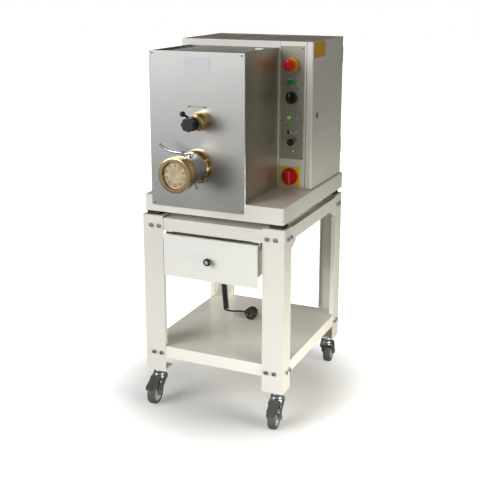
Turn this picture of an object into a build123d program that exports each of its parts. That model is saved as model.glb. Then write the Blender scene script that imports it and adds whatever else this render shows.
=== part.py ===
from build123d import *
import math
import os

# A mixing and extruding pasta machine on a wheeled trolley, in millimetres.
# +Z is up, +X is to the operator's right, and the front faces -Y.
# The origin is on the floor, under the middle of the machine.

# Depths, from the front of the ring nut to the back
extruder_reach = 170.0
plate_thickness = 3.0
tank_depth = 299.0
housing_depth = 335.0
trolley_lead = 4.0
trolley_depth = 609.0

# Widths
trolley_width = 544.0
base_width = 531.0
housing_left_x = -265.0
column_left_x = 131.0
column_right_x = 229.0
door_outer_x = 254.0
casing_left_x = -230.0
casing_right_x = 123.0
plate_overlap = 1.5

# Heights
caster_height = 128.0
leg_length = 597.0
pad_height = 16.0
base_height = 58.0
housing_height = 528.0
casing_height = 506.0
plate_drop = 34.0

# Sheet metal
sheet = 2.0
leg_sheet = 2.5
seam = 1.4
door_gap = 1.6
panel_gap = 0.3

# Casters
wheel_radius = 45.0
wheel_width = 30.0
rim_half = 12.0
tyre_round = 5.0
tyre_bore = 33.0
caster_trail = 42.0
caster_inset = 34.0
swivel_rest = {"fl": 5.0, "fr": 8.0, "rl": 168.0, "rr": 188.0}
caster_side = {"fl": -1, "fr": 1, "rl": -1, "rr": 1}
caster_end = {"fl": -1, "fr": -1, "rl": 1, "rr": 1}

# Trolley frame
front_flange = 80.0
side_flange = 67.0
leg_lip = 16.0
rail_height = 46.0
rail_width = 25.0
end_rail_width = 80.0
rail_top_gap = 6.0
shelf_top_z = 229.0
shelf_lip = 44.0
front_bolt_offsets = (33.0, 64.0)
side_bolt_offsets = (27.0, 56.0)
bolt_radius = 4.0
bolt_head = 5.3
bolt_flats = 13.0
washer = 1.6
bolt_hole = 4.25
nut_thickness = 6.5
rail_bolt_drop = 30.0
shelf_bolt_z = 203.0

# Drawer and its runners
runner_width = 26.0
runner_height = 31.0
runner_play = 2.0
drawer_depth = 324.0
drawer_drop = 144.0
pan_gap = 13.0
pan_overlap = 3.0
pan_drops = (7.0, 158.5)
pan_proud = 20.0
pan_depth = 13.0
drawer_knob_rise = 75.5
drawer_knob_radius = 14.0

# Mixing tank, shafts and gears
mixer_x = -31.0
mixer_rise = 278.0
trough_radius = 128.0
trough_wall = 3.0
auger_shift = -20.0
auger_flight = 35.0
auger_core = 13.0
auger_pitch = 50.0
auger_clearance = 1.0
shaft_radius = 12.0
running_fit = 0.05
module = 5.0
mixer_teeth = 42
auger_teeth = 22
pinion_teeth = 20
pinion_direction = 150.0
gear_face = 25.0
gear_gap = 26.0
paddle_reach = 122.0
bulkhead_thickness = 10.0

# Extruder and mixer fittings on the front plate
bush_radius = 32.0
bush_length = 50.0
hub_radius = 18.0
hub_length = 88.0
lobed_radius = 23.0
lobed_front = 112.0
flange_radius = 58.0
flange_length = 28.0
sleeve_radius = 48.0
nut_radius = 60.0
nut_length = 54.0
nut_lip = 8.0
nut_mouth = 44.0
die_thickness = 10.0
die_holes = 10
die_hole = 8.5
die_pitch_radius = 34.0

# Controls, on one centre line
plate_left_x = 133.0
plate_right_x = 222.0
control_rises = (108.0, 512.0)
control_sheet = 1.5
panel_hole = 11.2
estop_rise = 448.0
start_rise = 387.0
selector_rise = 331.0
speed_rise = 171.0
lamp_x = 167.0
toggle_x = 195.0
lamp_rises = (259.0, 205.0)
switch_x = 174.0
switch_drop = 64.0
switch_width = 76.0
switch_height = 66.0
lock_rise = 266.0
lock_set_back = 46.0

# Door hinge
knuckle_radius = 4.3
hinge_pin = 2.0
hinge_stand_off = 4.7
knuckle_length = 28.0
hinge_rises = (81.0, 431.0)

# Cord
wire = 7.0
curl_radius = 8.0
curl_turns = 56
coil_pitch = 7.8
coil_shift = (34.0, -2.0)
gland_x = -150.0
gland_set_back = 67.5
gland_drop = 28.0

# Places that follow from the sizes above
half_width = trolley_width / 2
pan_half = half_width - front_flange - pan_gap
runner_outer_x = pan_half + pan_overlap
runner_inner_x = runner_outer_x - runner_width
drawer_half = runner_inner_x - runner_play


def caster_reach(name):
    """How far a caster's tyre reaches past its swivel axis, along Y."""
    angle = math.radians(swivel_rest[name])
    flat = caster_trail + wheel_radius - tyre_round
    return abs(math.cos(angle)) * flat + abs(math.sin(angle)) * (wheel_width / 2 - tyre_round) + tyre_round


rear_reach = max(caster_reach("rl"), caster_reach("rr"))
plate_to_back = plate_thickness - trolley_lead + trolley_depth - caster_inset + rear_reach
plate_face_y = (extruder_reach - plate_to_back) / 2
plate_back_y = plate_face_y + plate_thickness
housing_front_y = plate_face_y + tank_depth
housing_back_y = housing_front_y + housing_depth
trolley_front_y = plate_back_y - trolley_lead
trolley_back_y = trolley_front_y + trolley_depth
base_front_y = plate_back_y
base_back_y = housing_back_y + sheet
base_half = base_width / 2

leg_bottom_z = caster_height
leg_top_z = leg_bottom_z + leg_length
base_bottom_z = leg_top_z + pad_height
base_top_z = base_bottom_z + base_height
housing_top_z = base_top_z + housing_height
casing_top_z = base_top_z + casing_height
rail_top_z = leg_top_z - rail_top_gap
rail_bottom_z = rail_top_z - rail_height
rail_bolt_z = rail_top_z - rail_bolt_drop
drawer_bottom_z = rail_bottom_z - drawer_drop
pan_top_z, pan_bottom_z = (rail_bottom_z - drop for drop in pan_drops)
drawer_knob_z = pan_bottom_z + drawer_knob_rise

mixer_z = base_top_z + mixer_rise
control_bottom_z, control_top_z = (base_top_z + rise for rise in control_rises)
estop_z = base_top_z + estop_rise
start_z = base_top_z + start_rise
selector_z = base_top_z + selector_rise
upper_lamp_z, lower_lamp_z = (base_top_z + rise for rise in lamp_rises)
speed_z = base_top_z + speed_rise
switch_z = control_bottom_z - switch_drop
lock_z = base_top_z + lock_rise
hinge_heights = tuple(base_top_z + rise for rise in hinge_rises)

gland_y = housing_front_y + gland_set_back
gland_tip_z = base_bottom_z - gland_drop

os.makedirs("parts", exist_ok=True)


def write(part, name):
    """Labels one finished piece and writes it under its name."""
    part.label = name
    export_step(part, f"parts/{name}.step")


def block(xs, ys, zs, mode=Mode.ADD):
    """A box between two X, two Y and two Z planes, in the open builder."""
    middle = tuple((low + high) / 2 for low, high in (xs, ys, zs))
    with Locations(middle):
        Box(xs[1] - xs[0], ys[1] - ys[0], zs[1] - zs[0], mode=mode)


def rod(radius, start, end, mode=Mode.ADD):
    """A cylinder from one point to another, in the open builder."""
    way = Vector(end) - Vector(start)
    with Locations(Plane(origin=start, z_dir=way)):
        Cylinder(radius, way.length, align=(Align.CENTER, Align.CENTER, Align.MIN), mode=mode)


def along(radius, x, z, start_y, end_y, mode=Mode.ADD):
    """A cylinder about the line through (x, z) along Y, in the open builder."""
    rod(radius, (x, start_y, z), (x, end_y, z), mode)


def turned(x, z, profile):
    """A solid turned about the line through (x, z) along Y, from points of Y and radius."""
    with BuildPart() as piece:
        with BuildSketch(Plane.YZ.offset(x)):
            with BuildLine():
                Polyline([(y, z + radius) for y, radius in profile], close=True)
            make_face()
        revolve(axis=Axis((x, 0, z), (0, 1, 0)))
    return piece.part


def rounded_box(xs, ys, zs, corner, top_corner=0):
    """A box with round upright edges and, where asked, a round top."""
    with BuildPart() as piece:
        block(xs, ys, zs)
        fillet(piece.edges().filter_by(Axis.Z), corner)
        if top_corner:
            fillet(piece.faces().sort_by(Axis.Z)[-1].edges(), top_corner)
    return piece.part


def corner_block(side, end, inward_x, inward_y, zs, mode=Mode.ADD):
    """A block at one trolley corner, given by distances in from the two outer faces."""
    end_y = trolley_front_y if end < 0 else trolley_back_y
    xs = sorted(side * (half_width - distance) for distance in inward_x)
    ys = sorted(end_y - end * distance for distance in inward_y)
    block(xs, ys, zs, mode)


trolley_corners = [(side, end) for side in (-1, 1) for end in (-1, 1)]


def bolt_planes(height):
    """A plane at each trolley bolt's outer point, with Z along the way in."""
    planes = []
    for side, end in trolley_corners:
        end_y = trolley_front_y if end < 0 else trolley_back_y
        for offset_x in front_bolt_offsets:
            planes.append(Plane(origin=(side * (half_width - offset_x), end_y, height), z_dir=(0, -end, 0)))
        for offset_y in side_bolt_offsets:
            origin = (side * half_width, end_y - end * offset_y, height)
            planes.append(Plane(origin=origin, z_dir=(-side, 0, 0)))
    return planes


def bolt_holes(heights):
    """Cuts the trolley's bolt holes at these heights in the open builder."""
    with Locations(*[plane for height in heights for plane in bolt_planes(height)]):
        Cylinder(bolt_hole, 4 * leg_sheet + sheet, mode=Mode.SUBTRACT)


def hex_bolt(grip):
    """A bolt with two washers and a nut; Z runs from the outer face into the metal."""
    with BuildPart() as bolt:
        with BuildSketch(Plane.XY.offset(-washer - bolt_head)):
            RegularPolygon(bolt_flats / 2, 6, major_radius=False)
        extrude(amount=bolt_head)
        rod(2 * bolt_radius, (0, 0, -washer), (0, 0, 0))
        rod(bolt_radius, (0, 0, -washer), (0, 0, grip + washer + nut_thickness + 2.5))
        rod(2 * bolt_radius, (0, 0, grip), (0, 0, grip + washer))
        with BuildSketch(Plane.XY.offset(grip + washer)):
            RegularPolygon(bolt_flats / 2, 6, major_radius=False)
        extrude(amount=nut_thickness)
    return bolt.part


# Legs: folded angles with lips, a foot plate and a head plate
foot_plate = 4.0
lip_bottom_z = shelf_top_z + 6
lip_top_z = rail_bottom_z - 33
with BuildPart() as legs:
    for side, end in trolley_corners:
        span = (leg_bottom_z, leg_top_z)
        corner_block(side, end, (0, front_flange), (0, leg_sheet), span)
        corner_block(side, end, (0, leg_sheet), (0, side_flange), span)
        lips = (lip_bottom_z, lip_top_z)
        corner_block(side, end, (front_flange - leg_sheet, front_flange), (0, leg_lip), lips)
        corner_block(side, end, (0, leg_lip), (side_flange - leg_sheet, side_flange), lips)
        foot = (leg_bottom_z, leg_bottom_z + foot_plate)
        corner_block(side, end, (0, front_flange - 8), (0, side_flange), foot)
        head = (leg_top_z - leg_sheet, leg_top_z)
        corner_block(side, end, (0, front_flange), (0, side_flange), head)
    bolt_holes((rail_bolt_z, shelf_bolt_z))
write(legs.part, "legs")

# Rails: channels behind the flanges, the side ones with ears at their ends
web_end = half_width - 2 * leg_sheet - 3
flange_end = half_width - leg_sheet - rail_width - 3.5
ear_run = 52.0
ear_shoulder = 43.0
ear_drops = (14.0, 31.0)
with BuildPart() as frame_rails:
    for end in (-1, 1):
        end_y = trolley_front_y if end < 0 else trolley_back_y
        web = sorted((end_y - end * leg_sheet, end_y - end * 2 * leg_sheet))
        flange = sorted((end_y - end * leg_sheet, end_y - end * (leg_sheet + end_rail_width)))
        block((-web_end, web_end), web, (rail_bottom_z, rail_top_z))
        block((-flange_end, flange_end), flange, (rail_top_z - leg_sheet, rail_top_z))
    for side in (-1, 1):
        inner_x = side * (half_width - 2 * leg_sheet)
        web = sorted((side * (half_width - leg_sheet), inner_x))
        flange = sorted((side * (half_width - leg_sheet), side * (half_width - leg_sheet - rail_width)))
        ends = (trolley_front_y + leg_sheet, trolley_back_y - leg_sheet)
        inner_ends = (ends[0] + leg_sheet + 0.5, ends[1] - leg_sheet - 0.5)
        block(web, ends, (rail_bottom_z, rail_top_z))
        block(flange, inner_ends, (rail_top_z - leg_sheet, rail_top_z))
        for end in (-1, 1):
            edge_y = (trolley_front_y if end < 0 else trolley_back_y) - end * side_flange
            ear = [
                (edge_y + end * 40, rail_bottom_z + 1),
                (edge_y - end * ear_run, rail_bottom_z + 1),
                (edge_y - end * ear_run, rail_bottom_z),
                (edge_y - end * ear_shoulder, rail_bottom_z - ear_drops[0]),
                (edge_y, rail_bottom_z - ear_drops[1]),
                (edge_y + end * 40, rail_bottom_z - ear_drops[1]),
            ]
            with BuildSketch(Plane.YZ.offset(web[0])):
                with BuildLine():
                    Polyline(ear, close=True)
                make_face()
            extrude(amount=leg_sheet)
    bolt_holes((rail_bolt_z,))
write(frame_rails.part, "frame_rails")

# Shelf: a tray turned upside down between the legs
shelf_half = half_width - leg_sheet
shelf_ys = (trolley_front_y + leg_sheet, trolley_back_y - leg_sheet)
shelf_inner_ys = (shelf_ys[0] + sheet, shelf_ys[1] - sheet)
with BuildPart() as shelf:
    block((-shelf_half, shelf_half), shelf_ys, (shelf_top_z - shelf_lip, shelf_top_z))
    fillet(shelf.faces().sort_by(Axis.Z)[-1].edges(), 1.5)
    inner_half = shelf_half - sheet
    block((-inner_half, inner_half), shelf_inner_ys, (0, shelf_top_z - sheet), Mode.SUBTRACT)
    bolt_holes((shelf_bolt_z,))
write(shelf.part, "shelf")

# Trolley bolts through the rails and the shelf
trolley_bolts = Compound([
    plane.location * hex_bolt(leg_sheet + inner)
    for height, inner in ((rail_bolt_z, leg_sheet), (shelf_bolt_z, sheet))
    for plane in bolt_planes(height)
])
write(trolley_bolts, "trolley_bolts")

# Drawer runners: channels that hang from the front and rear rails
runner_bottom_z = rail_bottom_z - runner_height
with BuildPart() as drawer_runners:
    for side in (-1, 1):
        xs = sorted((side * runner_inner_x, side * runner_outer_x))
        web = sorted((side * (runner_outer_x - leg_sheet), side * runner_outer_x))
        ys = (trolley_front_y + leg_sheet, trolley_back_y - leg_sheet)
        block(xs, ys, (rail_bottom_z - leg_sheet, rail_bottom_z))
        block(web, ys, (runner_bottom_z, rail_bottom_z))
        block(xs, ys, (runner_bottom_z, runner_bottom_z + leg_sheet))
write(drawer_runners.part, "drawer_runners")

# Drawer: a tray with lips that rest in the runners, and a front pan
drawer_sheet = 1.5
lip_z = runner_bottom_z + leg_sheet + panel_gap
lip_x = runner_outer_x - leg_sheet - runner_play
pan_front_y = trolley_front_y - pan_proud
pan_back_y = pan_front_y + pan_depth
tray_front_y = pan_front_y + drawer_sheet
tray_back_y = tray_front_y + drawer_depth
with BuildPart() as drawer:
    add(rounded_box((-pan_half, pan_half), (pan_front_y, pan_back_y), (pan_bottom_z, pan_top_z), 1.0))
    inner_pan = pan_half - drawer_sheet
    inner_zs = (pan_bottom_z + drawer_sheet, pan_top_z - drawer_sheet)
    block((-inner_pan, inner_pan), (tray_front_y, pan_back_y), inner_zs, Mode.SUBTRACT)
    tray_zs = (drawer_bottom_z, lip_z + drawer_sheet)
    block((-drawer_half, drawer_half), (tray_front_y, tray_back_y), tray_zs)
    for side in (-1, 1):
        lip = sorted((side * (drawer_half - 1), side * lip_x))
        lip_ys = (trolley_front_y + leg_sheet, tray_back_y)
        block(lip, lip_ys, (lip_z, lip_z + drawer_sheet))
    inside = drawer_half - drawer_sheet
    inside_ys = (tray_front_y + drawer_sheet, tray_back_y - drawer_sheet)
    block((-inside, inside), inside_ys, (drawer_bottom_z + drawer_sheet, lip_z + 20), Mode.SUBTRACT)
write(drawer.part, "drawer")

knob_stem = 8.0
knob_length = 25.0
knob_profile = [
    (pan_front_y, 0),
    (pan_front_y, 7),
    (pan_front_y - knob_stem, 5.5),
    (pan_front_y - knob_stem - 4, drawer_knob_radius - 2),
    (pan_front_y - knob_stem - 7, drawer_knob_radius),
    (pan_front_y - knob_stem - 12, drawer_knob_radius - 0.5),
    (pan_front_y - knob_stem - 15.5, drawer_knob_radius - 4),
    (pan_front_y - knob_length, 0),
]
drawer_knob = turned(0, drawer_knob_z, knob_profile)
write(drawer_knob, "drawer_knob")

# Rubber pads between the trolley and the machine
pad_inset = 11.0
pad_size = 50.0
with BuildPart() as rubber_pads:
    for side, end in trolley_corners:
        reach = (pad_inset, pad_inset + pad_size)
        corner_block(side, end, reach, reach, (leg_top_z, base_bottom_z))
    fillet(rubber_pads.edges().filter_by(Axis.Z), 4)
write(rubber_pads.part, "rubber_pads")

# Casters: the stem stays on the leg, the fork swivels and the wheel rolls
race_radius = 23.5
race_top_z = 108.0
crown_z = (93.0, 97.0)
king_pin = 6.0
cheek_gap = 21.5
cheek = 2.5
axle_radius = 4.0
pedal_pivot = (30.0, 92.0)
pedal_pin = 2.5


def caster_plane(name):
    """The caster's own plane: origin under its swivel axis, X along the way that it trails."""
    angle = math.radians(swivel_rest[name])
    end_y = trolley_front_y if caster_end[name] < 0 else trolley_back_y
    x = caster_side[name] * (half_width - caster_inset)
    y = end_y - caster_end[name] * caster_inset
    return Plane(origin=(x, y, 0), x_dir=(math.sin(angle), -math.cos(angle), 0), z_dir=(0, 0, 1))


def placed(shape, plane):
    """The same shape, made at the origin, on another plane."""
    with BuildPart() as piece:
        with Locations(plane):
            add(shape)
    return piece.part


def caster_fork(with_pedal):
    """Race, crown, two cheeks and the axle; a braked one has the pedal's pin too."""
    outline = [(-18, crown_z[1]), (38, crown_z[1]), (41, 87), (57, 52), (50, 36), (35, 34), (25, 46)]
    outline.append((-18, 85))
    with BuildPart() as fork:
        block((-race_radius, 22), (-cheek_gap - cheek, cheek_gap + cheek), crown_z)
        rod(race_radius, (0, 0, crown_z[1]), (0, 0, race_top_z))
        for start in (-cheek_gap - cheek, cheek_gap):
            with BuildSketch(Plane.XZ.offset(-start)):
                with BuildLine():
                    Polyline(outline, close=True)
                make_face()
            extrude(amount=-cheek)
        axle_end = cheek_gap + cheek + 4
        rod(axle_radius, (caster_trail, -axle_end, wheel_radius), (caster_trail, axle_end, wheel_radius))
        for side in (-1, 1):
            start = (caster_trail, side * (cheek_gap + cheek - 0.5), wheel_radius)
            rod(7.0, start, (caster_trail, side * axle_end, wheel_radius))
        if with_pedal:
            pivot_x, pivot_z = pedal_pivot
            pin_end = cheek_gap + cheek
            rod(pedal_pin, (pivot_x, -pin_end, pivot_z), (pivot_x, pin_end, pivot_z))
        rod(king_pin + running_fit, (0, 0, crown_z[0] - 1), (0, 0, race_top_z + 1), Mode.SUBTRACT)
    return fork.part


def caster_wheel():
    """Hub and tyre, two solids on one axle."""
    boss = cheek_gap - panel_gap
    bore = axle_radius + running_fit
    hub_side = [(boss, bore), (boss, 10), (rim_half, 14), (rim_half, tyre_bore)]
    hub_profile = hub_side + [(-y, radius) for y, radius in reversed(hub_side)]
    with BuildPart() as tyre:
        with BuildSketch(Plane.YZ.offset(caster_trail)) as tread:
            with Locations((0, wheel_radius + (tyre_bore + wheel_radius) / 2)):
                Rectangle(wheel_width, wheel_radius - tyre_bore)
            fillet(tread.vertices().group_by(Axis.Y)[-1], tyre_round)
        revolve(axis=Axis((caster_trail, 0, wheel_radius), (0, 1, 0)))
    return turned(caster_trail, wheel_radius, hub_profile), tyre.part


def brake_pedal():
    """A sloping plate over the wheel with two ears on the fork's pin."""
    pivot_x, pivot_z = pedal_pivot
    slope = -25.0 / 67.0
    toe_x = 95.0
    heel_x = 28.5
    half = 18.5
    ear = 2.3
    ear_back = 25.0
    ear_zs = (87.0, 90.0, 96.0)

    def top(x):
        return 101.8 + (x - 28) * slope

    plate = [(heel_x, top(heel_x)), (toe_x, top(toe_x)), (toe_x + 4, top(toe_x) + 2)]
    plate += [(toe_x + 4, top(toe_x)), (toe_x, top(toe_x) - 2), (heel_x, top(heel_x) - 2)]
    ear_outline = [(heel_x, top(heel_x) - 1), (ear_back, ear_zs[2]), (ear_back, ear_zs[1]),
                   (28, ear_zs[0]), (33, ear_zs[0]), (40, 91.5), (60, top(60) - 1)]
    with BuildPart() as pedal:
        with BuildSketch(Plane.XZ.offset(half)):
            with BuildLine():
                Polyline(plate, close=True)
            make_face()
        extrude(amount=-2 * half)
        for start in (-half, half - ear):
            with BuildSketch(Plane.XZ.offset(-start)):
                with BuildLine():
                    Polyline(ear_outline, close=True)
                make_face()
            extrude(amount=-ear)
        along(pedal_pin + running_fit, pivot_x, pivot_z, -half - 1, half + 1, Mode.SUBTRACT)
    return pedal.part


with BuildPart() as caster_stems:
    for name in swivel_rest:
        origin = caster_plane(name).origin
        x, y = origin.X, origin.Y
        rod(king_pin, (x, y, crown_z[0] - 6), (x, y, caster_height))
        rod(9.0, (x, y, crown_z[0] - 7), (x, y, crown_z[0] - 0.5))
        rod(race_radius - 1.5, (x, y, race_top_z + 0.5), (x, y, race_top_z + 10))
        rod(17.0, (x, y, race_top_z + 9), (x, y, caster_height))
write(caster_stems.part, "caster_stems")

hub_shape, tyre_shape = caster_wheel()
for name in swivel_rest:
    plane = caster_plane(name)
    write(placed(caster_fork(caster_end[name] < 0), plane), f"caster_fork_{name}")
    write(Compound([placed(hub_shape, plane), placed(tyre_shape, plane)]), f"caster_wheel_{name}")
write(placed(brake_pedal(), caster_plane("fl")), "brake_pedal_left")
write(placed(brake_pedal(), caster_plane("fr")), "brake_pedal_right")

# Base pan: a folded tray, open below but for corner plates and a strip that holds the gland
pan_corner = 8.0
pan_plate = 64.0
strip_half = 22.0
gland_thread = 8.0
pan_ys = (base_front_y, base_back_y)
pan_inner_ys = (base_front_y + sheet, base_back_y - sheet)
with BuildPart() as base_pan:
    add(rounded_box((-base_half, base_half), pan_ys, (base_bottom_z, base_top_z), pan_corner, sheet))
    inner_half = base_half - sheet
    inner_zs = (base_bottom_z + sheet, base_top_z - sheet)
    inner = rounded_box((-inner_half, inner_half), pan_inner_ys, inner_zs, pan_corner - sheet)
    add(inner, mode=Mode.SUBTRACT)
    floor_zs = (base_bottom_z - 1, base_bottom_z + sheet + 1)
    open_half = base_half - pan_plate
    front_hole = (pan_ys[0] + pan_plate, gland_y - strip_half)
    back_hole = (gland_y + strip_half, pan_ys[1] - pan_plate)
    for ys in (front_hole, back_hole):
        block((-inner_half, inner_half), ys, floor_zs, Mode.SUBTRACT)
    for ys in ((pan_inner_ys[0], pan_ys[0] + pan_plate), (pan_ys[1] - pan_plate, pan_inner_ys[1])):
        block((-open_half, open_half), ys, floor_zs, Mode.SUBTRACT)
    rod(gland_thread + 0.2, (gland_x, gland_y, floor_zs[0]), (gland_x, gland_y, floor_zs[1]), Mode.SUBTRACT)
write(base_pan.part, "base_pan")

# Shaft axes: the auger hangs under the mixer at the gears' centre distance
centre_distance = module * (mixer_teeth + auger_teeth) / 2
auger_x = mixer_x + auger_shift
auger_z = mixer_z - math.sqrt(centre_distance**2 - auger_shift**2)
pinion_distance = module * (mixer_teeth + pinion_teeth) / 2
pinion_angle = math.radians(pinion_direction)
pinion_x = mixer_x + pinion_distance * math.cos(pinion_angle)
pinion_z = mixer_z + pinion_distance * math.sin(pinion_angle)
bearing_boss = 22.0
boss_reach = 16.0

# Hinges between the housing and the service door
hinge_x = door_outer_x - knuckle_radius
hinge_y = housing_back_y + hinge_stand_off
cover_right_x = door_outer_x - sheet - panel_gap

# Housing shell: left wall, top with two vent fields, front wall and the whole rear wall
vent_fields = ((-230.0, -105.0), (-60.0, 45.0))
vent_front = 36.0
vent_back = 25.0
vent_slot = 8.0
vent_pitch = 11.0
housing_corner = 5.0
housing_ys = (housing_front_y, housing_back_y)
with BuildPart() as housing_shell:
    with BuildPart(mode=Mode.PRIVATE) as outer:
        block((housing_left_x, column_left_x - seam), housing_ys, (base_top_z, housing_top_z))
        fillet(outer.edges().filter_by(Axis.Z).group_by(Axis.X)[0], housing_corner)
        fillet(outer.faces().sort_by(Axis.Z)[-1].edges().sort_by(Axis.X)[0:-1], sheet)
    add(outer.part)
    inner_xs = (housing_left_x + sheet, column_left_x)
    inner_ys = (housing_front_y + sheet, housing_back_y - sheet)
    with BuildPart(mode=Mode.PRIVATE) as inner:
        block(inner_xs, inner_ys, (base_top_z - 1, housing_top_z - sheet))
        fillet(inner.edges().filter_by(Axis.Z).group_by(Axis.X)[0], housing_corner - sheet)
    add(inner.part, mode=Mode.SUBTRACT)
    rear_ys = (housing_back_y - sheet, housing_back_y)
    block((column_left_x - seam - 1, cover_right_x), rear_ys, (base_top_z, housing_top_z - sheet))
    for low, high in vent_fields:
        count = int((high - low) // vent_pitch)
        centre_y = (housing_front_y + vent_front + housing_back_y - vent_back) / 2
        length = housing_depth - vent_front - vent_back
        with Locations(((low + high) / 2, centre_y, housing_top_z)):
            with GridLocations(vent_pitch, 1, count, 1):
                Box(vent_slot, length, 4 * sheet, mode=Mode.SUBTRACT)
    for x, z in ((mixer_x, mixer_z), (auger_x, auger_z)):
        start = (x, housing_front_y - 1, z)
        rod(bearing_boss + 0.5, start, (x, housing_front_y + sheet + 1, z), Mode.SUBTRACT)
    for low in hinge_heights:
        leaf = (hinge_x - 12, hinge_x)
        block(leaf, (housing_back_y, hinge_y), (low, low + knuckle_length))
        rod(knuckle_radius, (hinge_x, hinge_y, low), (hinge_x, hinge_y, low + knuckle_length))
        pin_top = low + 2 * knuckle_length + panel_gap
        rod(hinge_pin, (hinge_x, hinge_y, low), (hinge_x, hinge_y, pin_top))
write(housing_shell.part, "housing_shell")

# Service door: side sheet and front return, on two knuckles
door_zs = (base_top_z + 1.5, housing_top_z - 0.5)
door_return_x = column_right_x + door_gap
lock_y = housing_front_y + lock_set_back
lock_radius = 9.0
with BuildPart() as service_door:
    with BuildSketch(Plane.XY.offset(door_zs[0])) as door_plan:
        with BuildLine():
            Polyline(
                [
                    (door_return_x, housing_front_y),
                    (door_outer_x, housing_front_y),
                    (door_outer_x, housing_back_y - 0.5),
                    (door_outer_x - sheet, housing_back_y - 0.5),
                    (door_outer_x - sheet, housing_front_y + sheet),
                    (door_return_x, housing_front_y + sheet),
                ],
                close=True,
            )
        make_face()
        corner = door_plan.vertices().filter_by_position(Axis.X, door_outer_x - 1, door_outer_x + 1)
        fillet(corner.sort_by(Axis.Y)[0], housing_corner)
        inner_place = (door_outer_x - sheet, housing_front_y + sheet)
        inner_corner = door_plan.vertices().sort_by_distance(inner_place)
        fillet(inner_corner[0], housing_corner - sheet)
    extrude(amount=door_zs[1] - door_zs[0])
    for low in hinge_heights:
        foot_z = low + knuckle_length + panel_gap
        head_z = foot_z + knuckle_length
        block((door_outer_x - sheet, door_outer_x), (housing_back_y - 1, hinge_y), (foot_z, head_z))
        rod(knuckle_radius, (hinge_x, hinge_y, foot_z), (hinge_x, hinge_y, head_z))
        bore = hinge_pin + running_fit
        rod(bore, (hinge_x, hinge_y, foot_z - 1), (hinge_x, hinge_y, head_z + 1), Mode.SUBTRACT)
    lock_start = (door_outer_x - sheet - 1, lock_y, lock_z)
    rod(lock_radius + running_fit, lock_start, (door_outer_x + 1, lock_y, lock_z), Mode.SUBTRACT)
write(service_door.part, "service_door")

# Door lock: a round body through the door and a cam that turns behind the column's flange
cam_x = column_right_x - 8
cam_length = 35.0
with BuildPart() as door_lock:
    rod(lock_radius, (cam_x + 3, lock_y, lock_z), (door_outer_x, lock_y, lock_z))
    rod(lock_radius + 2.5, (door_outer_x + 0.2, lock_y, lock_z), (door_outer_x + 2.5, lock_y, lock_z))
    rod(lock_radius, (door_outer_x - 1, lock_y, lock_z), (door_outer_x + 1, lock_y, lock_z))
    block((cam_x, cam_x + 3), (lock_y - 8, lock_y + 8), (lock_z - 8, lock_z + cam_length))
write(door_lock.part, "door_lock")

# Control column: front wall, top cover and the flange that the door's cam catches
middle_x = (plate_left_x + plate_right_x) / 2
toggle_hole = 6.2
lamp_hole = 5.2
panel_holes = [
    (middle_x, estop_z, panel_hole),
    (middle_x, start_z, panel_hole),
    (middle_x, selector_z, panel_hole),
    (middle_x, speed_z, toggle_hole),
    (lamp_x, upper_lamp_z, lamp_hole),
    (lamp_x, lower_lamp_z, lamp_hole),
    (toggle_x, upper_lamp_z + 2, toggle_hole),
    (toggle_x, lower_lamp_z + 2, toggle_hole),
]
switch_shaft = 6.0
column_face_x = column_right_x - panel_gap
with BuildPart() as control_column:
    front_ys = (housing_front_y, housing_front_y + sheet)
    block((column_left_x, column_face_x), front_ys, (base_top_z, housing_top_z))
    block((column_left_x, cover_right_x), housing_ys, (housing_top_z - sheet, housing_top_z))
    flange_ys = (housing_front_y, housing_front_y + 22)
    block((column_face_x - sheet, column_face_x), flange_ys, (base_top_z, housing_top_z))
    notch_ys = (housing_front_y - 1, housing_front_y + sheet + panel_gap)
    block((column_face_x, door_outer_x), notch_ys, (base_top_z, housing_top_z + 1), Mode.SUBTRACT)
    corner_xs = (cover_right_x - housing_corner + sheet, door_outer_x)
    corner_ys = (housing_front_y, housing_front_y + housing_corner + panel_gap)
    block(corner_xs, corner_ys, (base_top_z, housing_top_z + 1), Mode.SUBTRACT)
    for x, z, radius in panel_holes:
        rod(radius, (x, front_ys[0] - 1, z), (x, front_ys[1] + 1, z), Mode.SUBTRACT)
    shaft_hole = switch_shaft + running_fit
    along(shaft_hole, switch_x, switch_z, front_ys[0] - 1, front_ys[1] + 1, Mode.SUBTRACT)
write(control_column.part, "control_column")

# Control plate with its holes, and the main switch's plate
control_face_y = housing_front_y - control_sheet
switch_plate_thickness = 3.0
with BuildPart() as control_plate:
    plate_zs = (control_bottom_z, control_top_z)
    block((plate_left_x, plate_right_x), (control_face_y, housing_front_y), plate_zs)
    for x, z, radius in panel_holes:
        rod(radius, (x, control_face_y - 1, z), (x, housing_front_y + 1, z), Mode.SUBTRACT)
write(control_plate.part, "control_plate")

switch_face_y = housing_front_y - switch_plate_thickness
with BuildPart() as switch_plate:
    xs = (switch_x - switch_width / 2, switch_x + switch_width / 2)
    zs = (switch_z - switch_height / 2, switch_z + switch_height / 2)
    block(xs, (switch_face_y, housing_front_y), zs)
    fillet(switch_plate.edges().filter_by(Axis.Y), 3)
    along(shaft_hole, switch_x, switch_z, switch_face_y - 1, housing_front_y + 1, Mode.SUBTRACT)
write(switch_plate.part, "switch_plate")

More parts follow.
